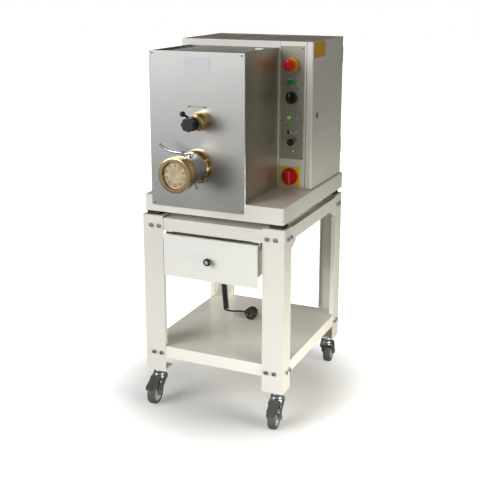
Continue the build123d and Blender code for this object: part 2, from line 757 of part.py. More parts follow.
# Bulkhead behind the tank, with the two shaft bearings
casing_inner = (casing_left_x + sheet, casing_right_x - sheet)
lid_z = casing_top_z - 8
bulkhead_front_y = housing_front_y - bulkhead_thickness
lid_hinge_y = housing_front_y - 8
lid_rod = 3.0
lid_height = 7.0
lid_rod_z = lid_z + lid_height / 2
with BuildPart() as bulkhead:
    block(casing_inner, (bulkhead_front_y, housing_front_y), (base_top_z, lid_z - 4))
    for x, z in ((mixer_x, mixer_z), (auger_x, auger_z)):
        rod(bearing_boss, (x, housing_front_y - 1, z), (x, housing_front_y + boss_reach, z))
        bore = shaft_radius + running_fit
        rod(bore, (x, bulkhead_front_y - 1, z), (x, housing_front_y + boss_reach + 1, z), Mode.SUBTRACT)
write(bulkhead.part, "bulkhead")

# Front plate with its two openings
barrel_bore = auger_flight + auger_clearance
with BuildPart() as front_plate:
    plate_xs = (casing_left_x - plate_overlap, casing_right_x + plate_overlap)
    plate_zs = (base_top_z - plate_drop, casing_top_z + 1)
    block(plate_xs, (plate_face_y, plate_back_y), plate_zs)
    along(shaft_radius + 1, mixer_x, mixer_z, plate_face_y - 1, plate_back_y + 1, Mode.SUBTRACT)
    along(barrel_bore, auger_x, auger_z, plate_face_y - 1, plate_back_y + 1, Mode.SUBTRACT)
write(front_plate.part, "front_plate")

# Tank casing: two sides joined by strips at the foot and flanges behind the plate
casing_ys = (plate_back_y, housing_front_y)
casing_zs = (base_top_z, casing_top_z)
casing_flange = 18.0
with BuildPart() as tank_casing:
    for x in (casing_left_x, casing_right_x - sheet):
        block((x, x + sheet), casing_ys, casing_zs)
    front_ys = (plate_back_y, plate_back_y + sheet)
    strip_zs = (base_top_z, base_top_z + sheet)
    flange_zs = (base_top_z, lid_z - panel_gap)
    block((casing_left_x, casing_left_x + casing_flange), front_ys, flange_zs)
    block((casing_right_x - casing_flange, casing_right_x), front_ys, flange_zs)
    block((casing_left_x, casing_right_x), (plate_back_y, plate_back_y + casing_flange), strip_zs)
    back_strip = (bulkhead_front_y - casing_flange, bulkhead_front_y)
    block((casing_left_x, casing_right_x), back_strip, strip_zs)
    lid_bore = lid_rod + running_fit
    bore_start = (casing_left_x - 1, lid_hinge_y, lid_rod_z)
    rod(lid_bore, bore_start, (casing_right_x + 1, lid_hinge_y, lid_rod_z), Mode.SUBTRACT)
write(tank_casing.part, "tank_casing")

# Mixing tank: a U trough with the auger's channel under it, between two end walls
tank_front_y = plate_back_y + sheet + 0.1
tank_ys = (tank_front_y, bulkhead_front_y)
flange_top_z = lid_z - panel_gap
with BuildPart() as mixing_tank:
    for grow, start, end, mode in (
        (trough_wall, tank_ys[0], tank_ys[1], Mode.ADD),
        (0, tank_ys[0] + trough_wall, tank_ys[1] - trough_wall, Mode.SUBTRACT),
    ):
        with BuildSketch(Plane.XZ.offset(-start)):
            with Locations((mixer_x, mixer_z)):
                Circle(trough_radius + grow)
            top = flange_top_z + (0 if grow else 5)
            with Locations((mixer_x, (mixer_z + top) / 2)):
                Rectangle(2 * (trough_radius + grow), top - mixer_z)
            with Locations((auger_x, auger_z)):
                Circle(barrel_bore + grow)
            with Locations((auger_x, (auger_z + mixer_z) / 2)):
                Rectangle(2 * (barrel_bore + grow), mixer_z - auger_z)
        extrude(amount=start - end, mode=mode)
    left_flange = (casing_inner[0], mixer_x - trough_radius - 1)
    right_flange = (mixer_x + trough_radius + 1, casing_inner[1])
    for xs in (left_flange, right_flange):
        block(xs, tank_ys, (flange_top_z - trough_wall, flange_top_z))
    along(shaft_radius + 1, mixer_x, mixer_z, tank_ys[0] - 1, tank_ys[1] + 1, Mode.SUBTRACT)
    front_wall_end = tank_ys[0] + trough_wall + 1
    rod(barrel_bore, (auger_x, tank_ys[0] - 1, auger_z), (auger_x, front_wall_end, auger_z), Mode.SUBTRACT)
    along(shaft_radius + 1, auger_x, auger_z, tank_ys[1] - 5, tank_ys[1] + 1, Mode.SUBTRACT)
write(mixing_tank.part, "mixing_tank")

# Lid: a frame with bars across it, on a rod at its back
lid_frame = 14.0
lid_bars = 4
lid_bar = 8.0
lid_bar_height = 5.0
lid_xs = (casing_inner[0] + 0.5, casing_inner[1] - 0.5)
lid_ys = (plate_back_y + 0.5, lid_hinge_y + lid_height / 2)
with BuildPart() as lid_grate:
    block(lid_xs, lid_ys, (lid_z, lid_z + lid_height))
    fillet(lid_grate.edges().filter_by(Axis.X).group_by(Axis.Y)[-1], lid_height / 2 - 0.1)
    opening = (lid_xs[0] + lid_frame, lid_xs[1] - lid_frame)
    opening_ys = (lid_ys[0] + lid_frame, lid_ys[1] - lid_frame)
    block(opening, opening_ys, (lid_z - 1, lid_z + lid_height + 1), Mode.SUBTRACT)
    step = (opening_ys[1] - opening_ys[0]) / (lid_bars + 1)
    for number in range(1, lid_bars + 1):
        bar_y = opening_ys[0] + number * step
        bar_xs = (opening[0] - 1, opening[1] + 1)
        block(bar_xs, (bar_y - lid_bar / 2, bar_y + lid_bar / 2), (lid_z, lid_z + lid_bar_height))
    rod_ends = (casing_left_x + 0.5, casing_right_x - 0.5)
    rod(lid_rod, (rod_ends[0], lid_hinge_y, lid_rod_z), (rod_ends[1], lid_hinge_y, lid_rod_z))
write(lid_grate.part, "lid_grate")


def involute(angle):
    return math.tan(angle) - angle


def gear(x, z, teeth, tooth_angle, bore, start_y):
    """A spur gear of 20 degree involute teeth about a line along Y; one tooth lies at tooth_angle."""
    pitch = module * teeth / 2
    base = pitch * math.cos(math.radians(20))
    tip = pitch + 0.8 * module
    root = pitch - 1.25 * module
    backlash = 0.5
    half_pitch = math.pi / (2 * teeth) - backlash / (2 * pitch)
    radii = [max(base, root) + (tip - max(base, root)) * step / 3 for step in range(4)]
    halves = [half_pitch + involute(math.radians(20)) - involute(math.acos(base / r)) for r in radii]
    points = []
    for number in range(teeth):
        centre = math.radians(tooth_angle) + 2 * math.pi * number / teeth
        flank = ([(root, halves[0])] if base > root else []) + list(zip(radii, halves))
        rising = [(radius, centre - half) for radius, half in flank]
        falling = [(radius, centre + half) for radius, half in reversed(flank)]
        points += [(r * math.cos(angle), r * math.sin(angle)) for r, angle in rising + falling]
    with BuildPart() as wheel:
        with BuildSketch(Plane(origin=(x, start_y, z), x_dir=(1, 0, 0), z_dir=(0, -1, 0))):
            with BuildLine():
                Polyline(points, close=True)
            make_face()
            Circle(bore, mode=Mode.SUBTRACT)
        extrude(amount=-gear_face)
    return wheel.part


def meshed_angle(direction, driver_teeth, driver_angle, teeth):
    """The tooth angle of a gear that meshes with a driver, seen along the line of their centres."""
    return direction + 180 + 180 / teeth + driver_teeth / teeth * (direction - driver_angle)


# Gears behind the bulkhead, on the two shafts and the motor's pinion
gear_y = housing_front_y + gear_gap
shaft_end_y = gear_y + gear_face + 5
seat = shaft_radius + 0.02
auger_direction = math.degrees(math.atan2(auger_z - mixer_z, auger_x - mixer_x))
auger_angle = meshed_angle(auger_direction, mixer_teeth, 0, auger_teeth)
pinion_tooth = meshed_angle(pinion_direction, mixer_teeth, 0, pinion_teeth)
write(gear(mixer_x, mixer_z, mixer_teeth, 0, seat, gear_y), "mixer_gear")
write(gear(auger_x, auger_z, auger_teeth, auger_angle, seat, gear_y), "auger_gear")

# Mixing shaft with three pairs of paddles
paddle_places = (0.2, 0.5, 0.8)
paddle_arm = 7.0
bush_end_y = plate_face_y - bush_length + 8
with BuildPart() as mixing_shaft:
    rod(shaft_radius, (mixer_x, bush_end_y, mixer_z), (mixer_x, shaft_end_y, mixer_z))
    for number, share in enumerate(paddle_places):
        y = tank_ys[0] + share * (tank_ys[1] - tank_ys[0])
        angle = math.radians(60 * number)
        arm = Vector(math.cos(angle), 0, math.sin(angle))
        centre = Vector(mixer_x, y, mixer_z)
        rod(paddle_arm, centre - arm * (paddle_reach - 6), centre + arm * (paddle_reach - 6))
        for side in (-1, 1):
            tip = centre + arm * (side * (paddle_reach - 18))
            with Locations(Plane(origin=tip, x_dir=(0, 1, 0), z_dir=arm)):
                Box(46, 8, 24)
    rod(shaft_radius + 8, (mixer_x, tank_ys[0] + 6, mixer_z), (mixer_x, tank_ys[1] - 6, mixer_z))
write(mixing_shaft.part, "mixing_shaft")

# Auger: core, flight and rear journal
auger_front_y = plate_face_y - extruder_reach + 23
auger_back_y = tank_ys[1] - 6
flight_back_y = tank_ys[1] - 14
flight_thickness = 5.0
with BuildPart() as flight:
    with BuildLine() as flight_path:
        Helix(pitch=auger_pitch, height=flight_back_y - auger_front_y - 6, radius=auger_core)
    with BuildSketch(Plane.XZ):
        with Locations(((auger_core - 1 + auger_flight) / 2, 0)):
            Rectangle(auger_flight - auger_core + 1, flight_thickness)
    sweep(path=flight_path.line, is_frenet=True)
flight_plane = Plane(origin=(auger_x, flight_back_y, auger_z), x_dir=(1, 0, 0), z_dir=(0, -1, 0))
with BuildPart() as auger:
    add(placed(flight.part, flight_plane))
    rod(auger_core, (auger_x, auger_front_y, auger_z), (auger_x, auger_back_y, auger_z))
    rod(shaft_radius, (auger_x, auger_back_y - 1, auger_z), (auger_x, shaft_end_y, auger_z))
write(auger.part, "auger")

# Gearmotor on its stand, with the pinion on its shaft and the fan inside its cowl
gearbox_front = housing_front_y + 60
gearbox_depth = 90.0
gearbox_half = 70.0
motor_radius = 65.0
motor_length = 120.0
cowl_length = 32.0
fan_shaft = 8.0
motor_front = gearbox_front + gearbox_depth
cowl_front = motor_front + motor_length
with BuildPart() as gearmotor:
    xs = (pinion_x - gearbox_half, pinion_x + gearbox_half)
    block(xs, (gearbox_front, motor_front), (pinion_z - gearbox_half, pinion_z + gearbox_half))
    fillet(gearmotor.edges().filter_by(Axis.Y), 12)
    rod(motor_radius, (pinion_x, motor_front - 1, pinion_z), (pinion_x, cowl_front, pinion_z))
    rod(motor_radius, (pinion_x, cowl_front - 1, pinion_z), (pinion_x, cowl_front + cowl_length, pinion_z))
    hollow = (pinion_x, cowl_front, pinion_z)
    rod(motor_radius - 4, hollow, (pinion_x, cowl_front + cowl_length + 1, pinion_z), Mode.SUBTRACT)
    rod(fan_shaft + running_fit, (pinion_x, cowl_front - 20, pinion_z), hollow, Mode.SUBTRACT)
    bore = shaft_radius + running_fit
    along(bore, pinion_x, pinion_z, gearbox_front - 1, gearbox_front + 20, Mode.SUBTRACT)
    for side in (-1, 1):
        leg_xs = sorted((pinion_x + side * (gearbox_half - 20), pinion_x + side * (gearbox_half - 12)))
        block(leg_xs, (gearbox_front, motor_front), (base_top_z, pinion_z - gearbox_half + 2))
write(gearmotor.part, "gearmotor")

with BuildPart() as drive_pinion:
    add(gear(pinion_x, pinion_z, pinion_teeth, pinion_tooth, shaft_radius - 2, gear_y))
    rod(shaft_radius, (pinion_x, gear_y - 4, pinion_z), (pinion_x, gearbox_front + 19, pinion_z))
write(drive_pinion.part, "drive_pinion")

fan_radius = 50.0
fan_blades = 8
with BuildPart() as motor_fan:
    rod(fan_shaft, (pinion_x, cowl_front - 19, pinion_z), (pinion_x, cowl_front + 22, pinion_z))
    rod(18, (pinion_x, cowl_front + 6, pinion_z), (pinion_x, cowl_front + 22, pinion_z))
    fan_plane = Plane(origin=(pinion_x, cowl_front + 14, pinion_z), x_dir=(1, 0, 0), z_dir=(0, -1, 0))
    with Locations(fan_plane):
        with PolarLocations((fan_radius + 16) / 2, fan_blades):
            Box(fan_radius - 16, 3, 16)
write(motor_fan.part, "motor_fan")

# Control gear: a mounting plate with two rows of modules
gear_plate_x = 60.0
gear_plate_top_z = base_top_z + 401
module_sizes = ((81, 60, 45), (161, 80, 55), (261, 95, 60), (351, 60, 40))
with BuildPart() as control_gear:
    plate_ys = (housing_front_y + 80, housing_back_y - 15)
    block((gear_plate_x, gear_plate_x + sheet), plate_ys, (base_top_z, gear_plate_top_z))
    for rise, length, depth in module_sizes:
        for start in (housing_front_y + 95, housing_front_y + 205):
            xs = (gear_plate_x + sheet - 0.5, gear_plate_x + sheet + depth * 0.7)
            zs = (base_top_z + rise - 28, base_top_z + rise + 28)
            block(xs, (start, start + length), zs)
write(control_gear.part, "control_gear")

# Mixer bush: a domed collar, a hub and the stud of the lobed knob
stud_radius = 5.0
lobed_thickness = 24.0
knob_back = plate_face_y - lobed_front + lobed_thickness
bush_profile = [
    (plate_face_y, shaft_radius + running_fit),
    (plate_face_y, bush_radius),
    (plate_face_y - 0.6 * bush_length, bush_radius),
    (plate_face_y - 0.8 * bush_length, bush_radius - 2),
    (plate_face_y - 0.94 * bush_length, bush_radius - 6),
    (plate_face_y - bush_length, bush_radius - 11),
    (plate_face_y - bush_length, hub_radius - 1),
    (plate_face_y - bush_length - 6, hub_radius - 1),
    (plate_face_y - bush_length - 6, hub_radius + 5),
    (plate_face_y - bush_length - 18, hub_radius + 5),
    (plate_face_y - bush_length - 18, hub_radius),
    (plate_face_y - hub_length + 4, hub_radius),
    (plate_face_y - hub_length + 4, stud_radius),
    (plate_face_y - lobed_front + 8, stud_radius),
    (plate_face_y - lobed_front + 8, 0),
    (bush_end_y - 0.5, 0),
    (bush_end_y - 0.5, shaft_radius + running_fit),
]
with BuildPart() as mixer_bush:
    add(turned(mixer_x, mixer_z, bush_profile))
    flat = Vector(-1, 0, 1).normalized()
    flat_centre = Vector(mixer_x, plate_face_y - bush_length / 2 + 2, mixer_z) + flat * (bush_radius + 2)
    with Locations(Plane(origin=flat_centre, x_dir=(0, 1, 0), z_dir=flat)):
        Box(bush_length * 0.56, 30, 9, mode=Mode.SUBTRACT)
    rod(3.0, flat_centre - flat * 5, flat_centre - flat * 1)
write(mixer_bush.part, "mixer_bush")

# Lobed knob on the stud
lobes = 7
lobe_notch = 7.0
with BuildPart() as lobed_knob:
    knob_plane = Plane(origin=(mixer_x, knob_back, mixer_z), x_dir=(1, 0, 0), z_dir=(0, -1, 0))
    with BuildSketch(knob_plane):
        Circle(lobed_radius)
        with PolarLocations(lobed_radius + lobe_notch * 0.62, lobes):
            Circle(lobe_notch, mode=Mode.SUBTRACT)
    extrude(amount=lobed_thickness)
    fillet(lobed_knob.faces().sort_by(Axis.Y)[0].edges(), 1.5)
    bore = stud_radius + running_fit
    along(bore, mixer_x, mixer_z, knob_back + 1, plate_face_y - lobed_front + 7.7, Mode.SUBTRACT)
write(lobed_knob.part, "lobed_knob")

# Ball lever: a ring on the hub and a rod to a black ball
ball_radius = 9.5
ball_place = Vector(mixer_x - 22, plate_face_y - 100, mixer_z + 34)
ring_ys = (plate_face_y - bush_length - 31, plate_face_y - bush_length - 18 - panel_gap)
with BuildPart() as ball_lever:
    rod(hub_radius + 6, (mixer_x, ring_ys[0], mixer_z), (mixer_x, ring_ys[1], mixer_z))
    ring_centre = Vector(mixer_x, (ring_ys[0] + ring_ys[1]) / 2, mixer_z)
    way = Vector(ball_place.X - mixer_x, 0, ball_place.Z - mixer_z).normalized()
    rod(4.0, ring_centre + way * (hub_radius + 3), ball_place)
    with Locations(ball_place):
        Sphere(ball_radius)
    bore = hub_radius + running_fit
    rod(bore, (mixer_x, ring_ys[0] - 1, mixer_z), (mixer_x, ring_ys[1] + 1, mixer_z), Mode.SUBTRACT)
write(ball_lever.part, "ball_lever")

# Barrel flange: a domed brass ring with bayonet scallops in its rim
scallops = 4
scallop_radius = 17.0
scallop_centre = flange_radius + 3
flange_profile = [
    (plate_face_y, barrel_bore),
    (plate_face_y, flange_radius),
    (plate_face_y - 0.35 * flange_length, flange_radius),
    (plate_face_y - 0.6 * flange_length, flange_radius - 1.5),
    (plate_face_y - 0.85 * flange_length, flange_radius - 5),
    (plate_face_y - flange_length, flange_radius - 9),
    (plate_face_y - flange_length, barrel_bore),
]
with BuildPart() as barrel_flange:
    add(turned(auger_x, auger_z, flange_profile))
    rim_centre = (auger_x, plate_face_y - flange_length, auger_z)
    with Locations(Plane(origin=rim_centre, x_dir=(1, 0, 0), z_dir=(0, -1, 0))):
        with PolarLocations(scallop_centre, scallops, 45):
            Cylinder(scallop_radius, flange_length, mode=Mode.SUBTRACT)
write(barrel_flange.part, "barrel_flange")

# Barrel sleeve with its lock lever on top and a short pin below
sleeve_back_y = plate_face_y - flange_length - panel_gap
nut_front_y = plate_face_y - extruder_reach
nut_back_y = nut_front_y + nut_length
die_front_y = nut_front_y + nut_lip + panel_gap
die_back_y = die_front_y + die_thickness
boss_y = plate_face_y - 58
sleeve_top = Vector(auger_x + 3, boss_y, auger_z + sleeve_radius)
lever_points = [
    sleeve_top + Vector(0, 0, 4),
    sleeve_top + Vector(-88, -1, 8),
    sleeve_top + Vector(-115, -2, 30),
]
lever_bend = 80.0
lever_rod = 4.0
lever_boss = 12.0
pin_way = Vector(28, 0, -53).normalized()
with BuildPart() as barrel_sleeve:
    rod(sleeve_radius, (auger_x, sleeve_back_y, auger_z), (auger_x, die_back_y, auger_z))
    rod(lever_boss, sleeve_top - Vector(0, 0, 6), sleeve_top + Vector(0, 0, 9))
    with BuildLine() as lever_path:
        FilletPolyline(*lever_points, radius=lever_bend)
    with BuildSketch(Plane(origin=lever_points[0], z_dir=lever_points[1] - lever_points[0])):
        Circle(lever_rod)
    sweep(path=lever_path.line)
    hex_way = (lever_points[1] - lever_points[0]).normalized()
    with BuildSketch(Plane(origin=lever_points[0] + hex_way * 22, z_dir=hex_way)):
        RegularPolygon(7.5, 6)
    extrude(amount=12)
    centre = Vector(auger_x, boss_y - 10, auger_z)
    rod(3.0, centre + pin_way * (sleeve_radius - 4), centre + pin_way * (sleeve_radius + 16))
    rod(4.5, centre + pin_way * (sleeve_radius + 14), centre + pin_way * (sleeve_radius + 24))
    bore_start = (auger_x, sleeve_back_y + 1, auger_z)
    rod(barrel_bore, bore_start, (auger_x, die_back_y - 1, auger_z), Mode.SUBTRACT)
write(barrel_sleeve.part, "barrel_sleeve")

# Ring nut over the sleeve's end, with grooves and a lip that holds the die
nut_bore = sleeve_radius + 0.06
groove_depth = 4.0
nut_profile = [
    (nut_back_y, nut_bore),
    (nut_back_y, nut_radius - 7),
    (nut_back_y - 5, nut_radius - 3),
    (nut_back_y - 12, nut_radius - 3),
    (nut_back_y - 14, nut_radius - 3 - groove_depth),
    (nut_back_y - 18, nut_radius - 3 - groove_depth),
    (nut_back_y - 20, nut_radius - 1),
    (nut_back_y - 29, nut_radius - 1),
    (nut_back_y - 31, nut_radius - groove_depth),
    (nut_back_y - 35, nut_radius - groove_depth),
    (nut_back_y - 37, nut_radius),
    (nut_front_y + 4, nut_radius),
    (nut_front_y + 1, nut_radius - 1.2),
    (nut_front_y, nut_radius - 4),
    (nut_front_y, nut_mouth + 2),
    (nut_front_y + 2, nut_mouth),
    (nut_front_y + nut_lip, nut_mouth),
    (nut_front_y + nut_lip, nut_bore),
]
write(turned(auger_x, auger_z, nut_profile), "ring_nut")

# Die: a bronze disc with a ring of square holes
with BuildPart() as die:
    die_plane = Plane(origin=(auger_x, die_back_y, auger_z), x_dir=(1, 0, 0), z_dir=(0, -1, 0))
    with BuildSketch(die_plane):
        Circle(sleeve_radius - 0.5)
        with PolarLocations(die_pitch_radius, die_holes, 18):
            Rectangle(die_hole, die_hole, mode=Mode.SUBTRACT)
    extrude(amount=die_thickness)
write(die.part, "die")

# Emergency stop: amber collar and red mushroom button
stop_stem = 8.0
stop_travel = 5.0
collar_radius = 25.5
collar_length = 20.0
stop_front = control_face_y - 50
sleeve = panel_hole - 0.2
behind_panel = housing_front_y + 24
with BuildPart() as estop_collar:
    rod(collar_radius, (middle_x, control_face_y - 12, estop_z), (middle_x, control_face_y, estop_z))
    along(collar_radius - 7, middle_x, estop_z, control_face_y - collar_length, control_face_y - 11)
    rod(sleeve, (middle_x, control_face_y - 1, estop_z), (middle_x, behind_panel, estop_z))
    stem_bore = stop_stem + running_fit
    along(stem_bore, middle_x, estop_z, control_face_y - 30, behind_panel + 1, Mode.SUBTRACT)
    fillet(estop_collar.edges().filter_by(GeomType.CIRCLE).sort_by(Axis.Y).filter_by(
        lambda edge: abs(edge.radius - collar_radius) < 0.1)[0], 3)
write(estop_collar.part, "estop_collar")

stop_cap = 20.0
with BuildPart() as estop_button:
    cap_profile = [
        (stop_front, 0),
        (stop_front + 0.5, stop_cap - 8),
        (stop_front + 3, stop_cap - 3),
        (stop_front + 7, stop_cap),
        (stop_front + 12, stop_cap),
        (stop_front + 22, stop_cap - 6),
        (stop_front + 22, stop_stem),
        (behind_panel - stop_travel - 1, stop_stem),
        (behind_panel - stop_travel - 1, 0),
    ]
    add(turned(middle_x, estop_z, cap_profile))
write(estop_button.part, "estop_button")

# Start button and the chrome bezels of the start button, selector, lamps, toggles and speed knob
start_cap = 11.5
start_front = control_face_y - 26
start_floor = control_face_y - 2.5
start_stem = 4.0
bezel_radius = 14.0
bezel_length = 14.0
with BuildPart() as start_button:
    rod(start_cap, (middle_x, start_front, start_z), (middle_x, start_floor - 4.5, start_z))
    fillet(start_button.faces().sort_by(Axis.Y)[0].edges(), 1.5)
    rod(start_stem, (middle_x, start_floor - 5, start_z), (middle_x, behind_panel - 8, start_z))
write(start_button.part, "start_button")

selector_bezel = 17.0
selector_radius = 21.0
toggle_pivot_y = control_face_y - 3
toggle_ball = 4.0
speed_shaft = 3.0
lamp_bezel = 8.0
lamps = ((lamp_x, upper_lamp_z), (lamp_x, lower_lamp_z))
toggles = ((toggle_x, upper_lamp_z + 2), (toggle_x, lower_lamp_z + 2))
with BuildPart() as chrome_bezels:
    face = control_face_y
    rod(bezel_radius, (middle_x, face - bezel_length, start_z), (middle_x, face, start_z))
    rod(sleeve, (middle_x, face - 1, start_z), (middle_x, behind_panel, start_z))
    cap_bore = start_cap + running_fit
    along(cap_bore, middle_x, start_z, face - bezel_length - 1, start_floor, Mode.SUBTRACT)
    bore = start_stem + running_fit
    rod(bore, (middle_x, start_floor - 1, start_z), (middle_x, behind_panel + 1, start_z), Mode.SUBTRACT)
    rod(selector_bezel, (middle_x, face - 5, selector_z), (middle_x, face, selector_z))
    rod(sleeve, (middle_x, face - 1, selector_z), (middle_x, behind_panel, selector_z))
    rod(bore, (middle_x, face - 6, selector_z), (middle_x, behind_panel + 1, selector_z), Mode.SUBTRACT)
    for x, z in toggles:
        rod(8.0, (x, face - 6, z), (x, face, z))
        rod(toggle_hole - 0.2, (x, face - 1, z), (x, behind_panel, z))
        rod(toggle_ball + 0.3, (x, face - 7, z), (x, face + 2, z), Mode.SUBTRACT)
    for x, z in lamps:
        rod(lamp_bezel, (x, face - 3, z), (x, face, z))
        rod(lamp_hole - 0.2, (x, face - 1, z), (x, behind_panel, z))
    rod(9.0, (middle_x, face - 2.5, speed_z), (middle_x, face, speed_z))
    rod(toggle_hole - 0.2, (middle_x, face - 1, speed_z), (middle_x, behind_panel, speed_z))
    bore = speed_shaft + running_fit
    rod(bore, (middle_x, face - 4, speed_z), (middle_x, behind_panel + 1, speed_z), Mode.SUBTRACT)
write(chrome_bezels.part, "chrome_bezels")

# Selector: a round black knob with a grip bar across it
with BuildPart() as selector_knob:
    back = control_face_y - 5 - panel_gap
    rod(selector_radius, (middle_x, back - 9, selector_z), (middle_x, back, selector_z))
    fillet(selector_knob.faces().sort_by(Axis.Y)[0].edges(), 2)
    bar = (middle_x - 5, middle_x + 5)
    block(bar, (back - 24, back - 8), (selector_z - selector_radius + 3, selector_z + selector_radius - 3))
    rod(start_stem, (middle_x, back - 1, selector_z), (middle_x, behind_panel - 4, selector_z))
write(selector_knob.part, "selector_knob")

# Lamp lenses on their bezels
with BuildPart() as lamp_lenses:
    for x, z in lamps:
        start = control_face_y - 3
        lens = [(start, 0), (start, 6), (start - 4, 6), (start - 7, 4.5), (start - 9, 0)]
        add(turned(x, z, lens))
write(lamp_lenses.part, "lamp_lenses")


def toggle(x, z):
    """A bat lever on a ball inside its bezel, resting down."""
    tilt = math.radians(12)
    pivot = Vector(x, toggle_pivot_y, z)
    way = Vector(0, -math.cos(tilt), -math.sin(tilt))
    with BuildPart() as lever:
        with Locations(pivot):
            Sphere(toggle_ball)
        rod(2.0, pivot, pivot + way * 18)
        rod(2.8, pivot + way * 10, pivot + way * 21)
    return lever.part


write(toggle(*toggles[0]), "upper_toggle")
write(toggle(*toggles[1]), "lower_toggle")

# Speed knob and main switch knob, each on a shaft through the panel
speed_radius = 12.0
with BuildPart() as speed_knob:
    back = control_face_y - 2.5 - panel_gap
    rod(speed_radius, (middle_x, back - 14, speed_z), (middle_x, back, speed_z))
    fillet(speed_knob.faces().sort_by(Axis.Y)[0].edges(), 1.5)
    rod(speed_shaft, (middle_x, back - 1, speed_z), (middle_x, behind_panel - 4, speed_z))
write(speed_knob.part, "speed_knob")

switch_radius = 31.0
with BuildPart() as main_switch_knob:
    back = switch_face_y - panel_gap
    rod(switch_radius, (switch_x, back - 9, switch_z), (switch_x, back, switch_z))
    fillet(main_switch_knob.faces().sort_by(Axis.Y)[0].edges(), 2)
    grip = (switch_x - 7, switch_x + 7)
    block(grip, (back - 27, back - 8), (switch_z - switch_radius + 4, switch_z + switch_radius - 4))
    fillet(main_switch_knob.faces().sort_by(Axis.Y)[0].edges(), 3)
    rod(switch_shaft, (switch_x, back - 1, switch_z), (switch_x, behind_panel, switch_z))
write(main_switch_knob.part, "main_switch_knob")

# Cord gland: thread and locknut through the base strip, hexagon and dome below it
with BuildPart() as cord_gland:
    top = base_bottom_z + sheet
    rod(gland_thread, (gland_x, gland_y, base_bottom_z - 1), (gland_x, gland_y, top + 8))
    with BuildSketch(Plane.XY.offset(top)):
        with Locations((gland_x, gland_y)):
            RegularPolygon(12, 6)
    extrude(amount=5)
    with BuildSketch(Plane.XY.offset(base_bottom_z)):
        with Locations((gland_x, gland_y)):
            RegularPolygon(12, 6)
    extrude(amount=-8)
    rod(10.5, (gland_x, gland_y, gland_tip_z + 5), (gland_x, gland_y, base_bottom_z - 7))
    rod(7.5, (gland_x, gland_y, gland_tip_z), (gland_x, gland_y, gland_tip_z + 6))
write(cord_gland.part, "cord_gland")

# Curly cord: its centre line winds about an axis that leans at its foot and leaves it along +X
plug_boss_x = -46.0
plug_y = 136.0
plug_radius = 24.0
plug_z = shelf_top_z + plug_radius
coil_slope = math.atan(coil_pitch / (2 * math.pi * curl_radius))
entry_radius = 9.0
entry_x = entry_radius * (1 - math.sin(coil_slope))
coil_start_z = gland_tip_z - wire - entry_radius * math.cos(coil_slope)
coil_top = Vector(gland_x + entry_x, gland_y + curl_radius, coil_start_z)
coil_lean = Vector(gland_x + coil_shift[0] - coil_top.X, gland_y + coil_shift[1] - coil_top.Y, 0)


def curl_point(turn):
    """The cord's centre after so many turns from the top; the coil leans more and more."""
    angle = 2 * math.pi * turn - math.pi / 2
    radial = Vector(math.cos(angle), math.sin(angle), 0)
    lean = coil_lean * (turn / curl_turns) ** 2
    return coil_top + lean - Vector(0, 0, coil_pitch * turn) + radial * curl_radius


def curl_way(turn):
    """The way that the cord runs there."""
    return (curl_point(turn + 0.0005) - curl_point(turn - 0.0005)).normalized()


def biarc(start, start_way, end, end_way):
    """Joint and its tangent where two arcs meet between two points with given tangents."""
    chord = end - start
    a = 2 * (1 - start_way.dot(end_way))
    b = chord.dot(start_way + end_way)
    reach = chord.length**2 / (2 * b) if a < 1e-9 else (math.sqrt(b * b + a * chord.length**2) - b) / a
    joint = (start + end + (start_way - end_way) * reach) * 0.5
    return joint, (end - end_way * reach - start - start_way * reach).normalized()


turns = [0.5 * step for step in range(2 * curl_turns + 1)]
cord_start = Vector(gland_x, gland_y, gland_tip_z - wire)
cord_points = [cord_start] + [curl_point(turn) for turn in turns]
cord_ways = [Vector(0, 0, -1)] + [curl_way(turn) for turn in turns]
cord_end = cord_points[-1] + cord_ways[-1] * wire
with BuildPart() as curly_cord:
    with BuildLine() as cord_line:
        Line(Vector(gland_x, gland_y, gland_tip_z), cord_points[0])
        for first, last, way, last_way in zip(cord_points, cord_points[1:], cord_ways, cord_ways[1:]):
            joint, joint_way = biarc(first, way, last, last_way)
            TangentArc(first, joint, tangent=way)
            TangentArc(joint, last, tangent=joint_way)
        Line(cord_points[-1], cord_end)
    with BuildSketch(Plane(origin=(gland_x, gland_y, gland_tip_z), z_dir=(0, 0, -1))):
        Circle(wire / 2)
    sweep(path=cord_line.line)
write(curly_cord.part, "curly_cord")

# The curly cord's least gap to itself, on points along it that are over 3 wires apart
steps_per_turn = 36
samples = [curl_point(step / steps_per_turn) for step in range(steps_per_turn * curl_turns + 1)]
samples = [cord_start + Vector(0, 0, wire - step) for step in range(7)] + samples
apart = int(3 * wire / (2 * math.pi * curl_radius) * steps_per_turn) + 1
least = min(
    (samples[i] - samples[j]).length
    for i in range(len(samples))
    for j in range(i + apart, min(i + 3 * steps_per_turn, len(samples)))
)
cord_length = sum(edge.length for edge in cord_line.edges())
least_radius = min(edge.radius for edge in cord_line.edges().filter_by(GeomType.CIRCLE))
tube_volume = math.pi * wire**2 / 4 * cord_length
gap = least - wire
print(f"curly cord: length {cord_length:.0f}, least gap {gap:.2f}, least radius {least_radius:.1f}")
print(f"curly cord: volume over section times length {curly_cord.part.volume / tube_volume:.4f}")

# Plug lead: from the last curl to the plug's boss
lead_run = 18.0
lead_points = [
    cord_end,
    cord_end + cord_ways[-1] * lead_run,
    Vector(plug_boss_x - lead_run, plug_y, plug_z),
    Vector(plug_boss_x, plug_y, plug_z),
]


def lead_radii(points):
    """Each bend's radius: 0.45 of its shorter run over the tangent of half its turn."""
    found = []
    for before, here, after in zip(points, points[1:], points[2:]):
        shorter = min((here - before).length, (after - here).length)
        half_turn = math.radians((here - before).get_angle(after - here)) / 2
        found.append(0.45 * shorter / math.tan(half_turn))
    return found


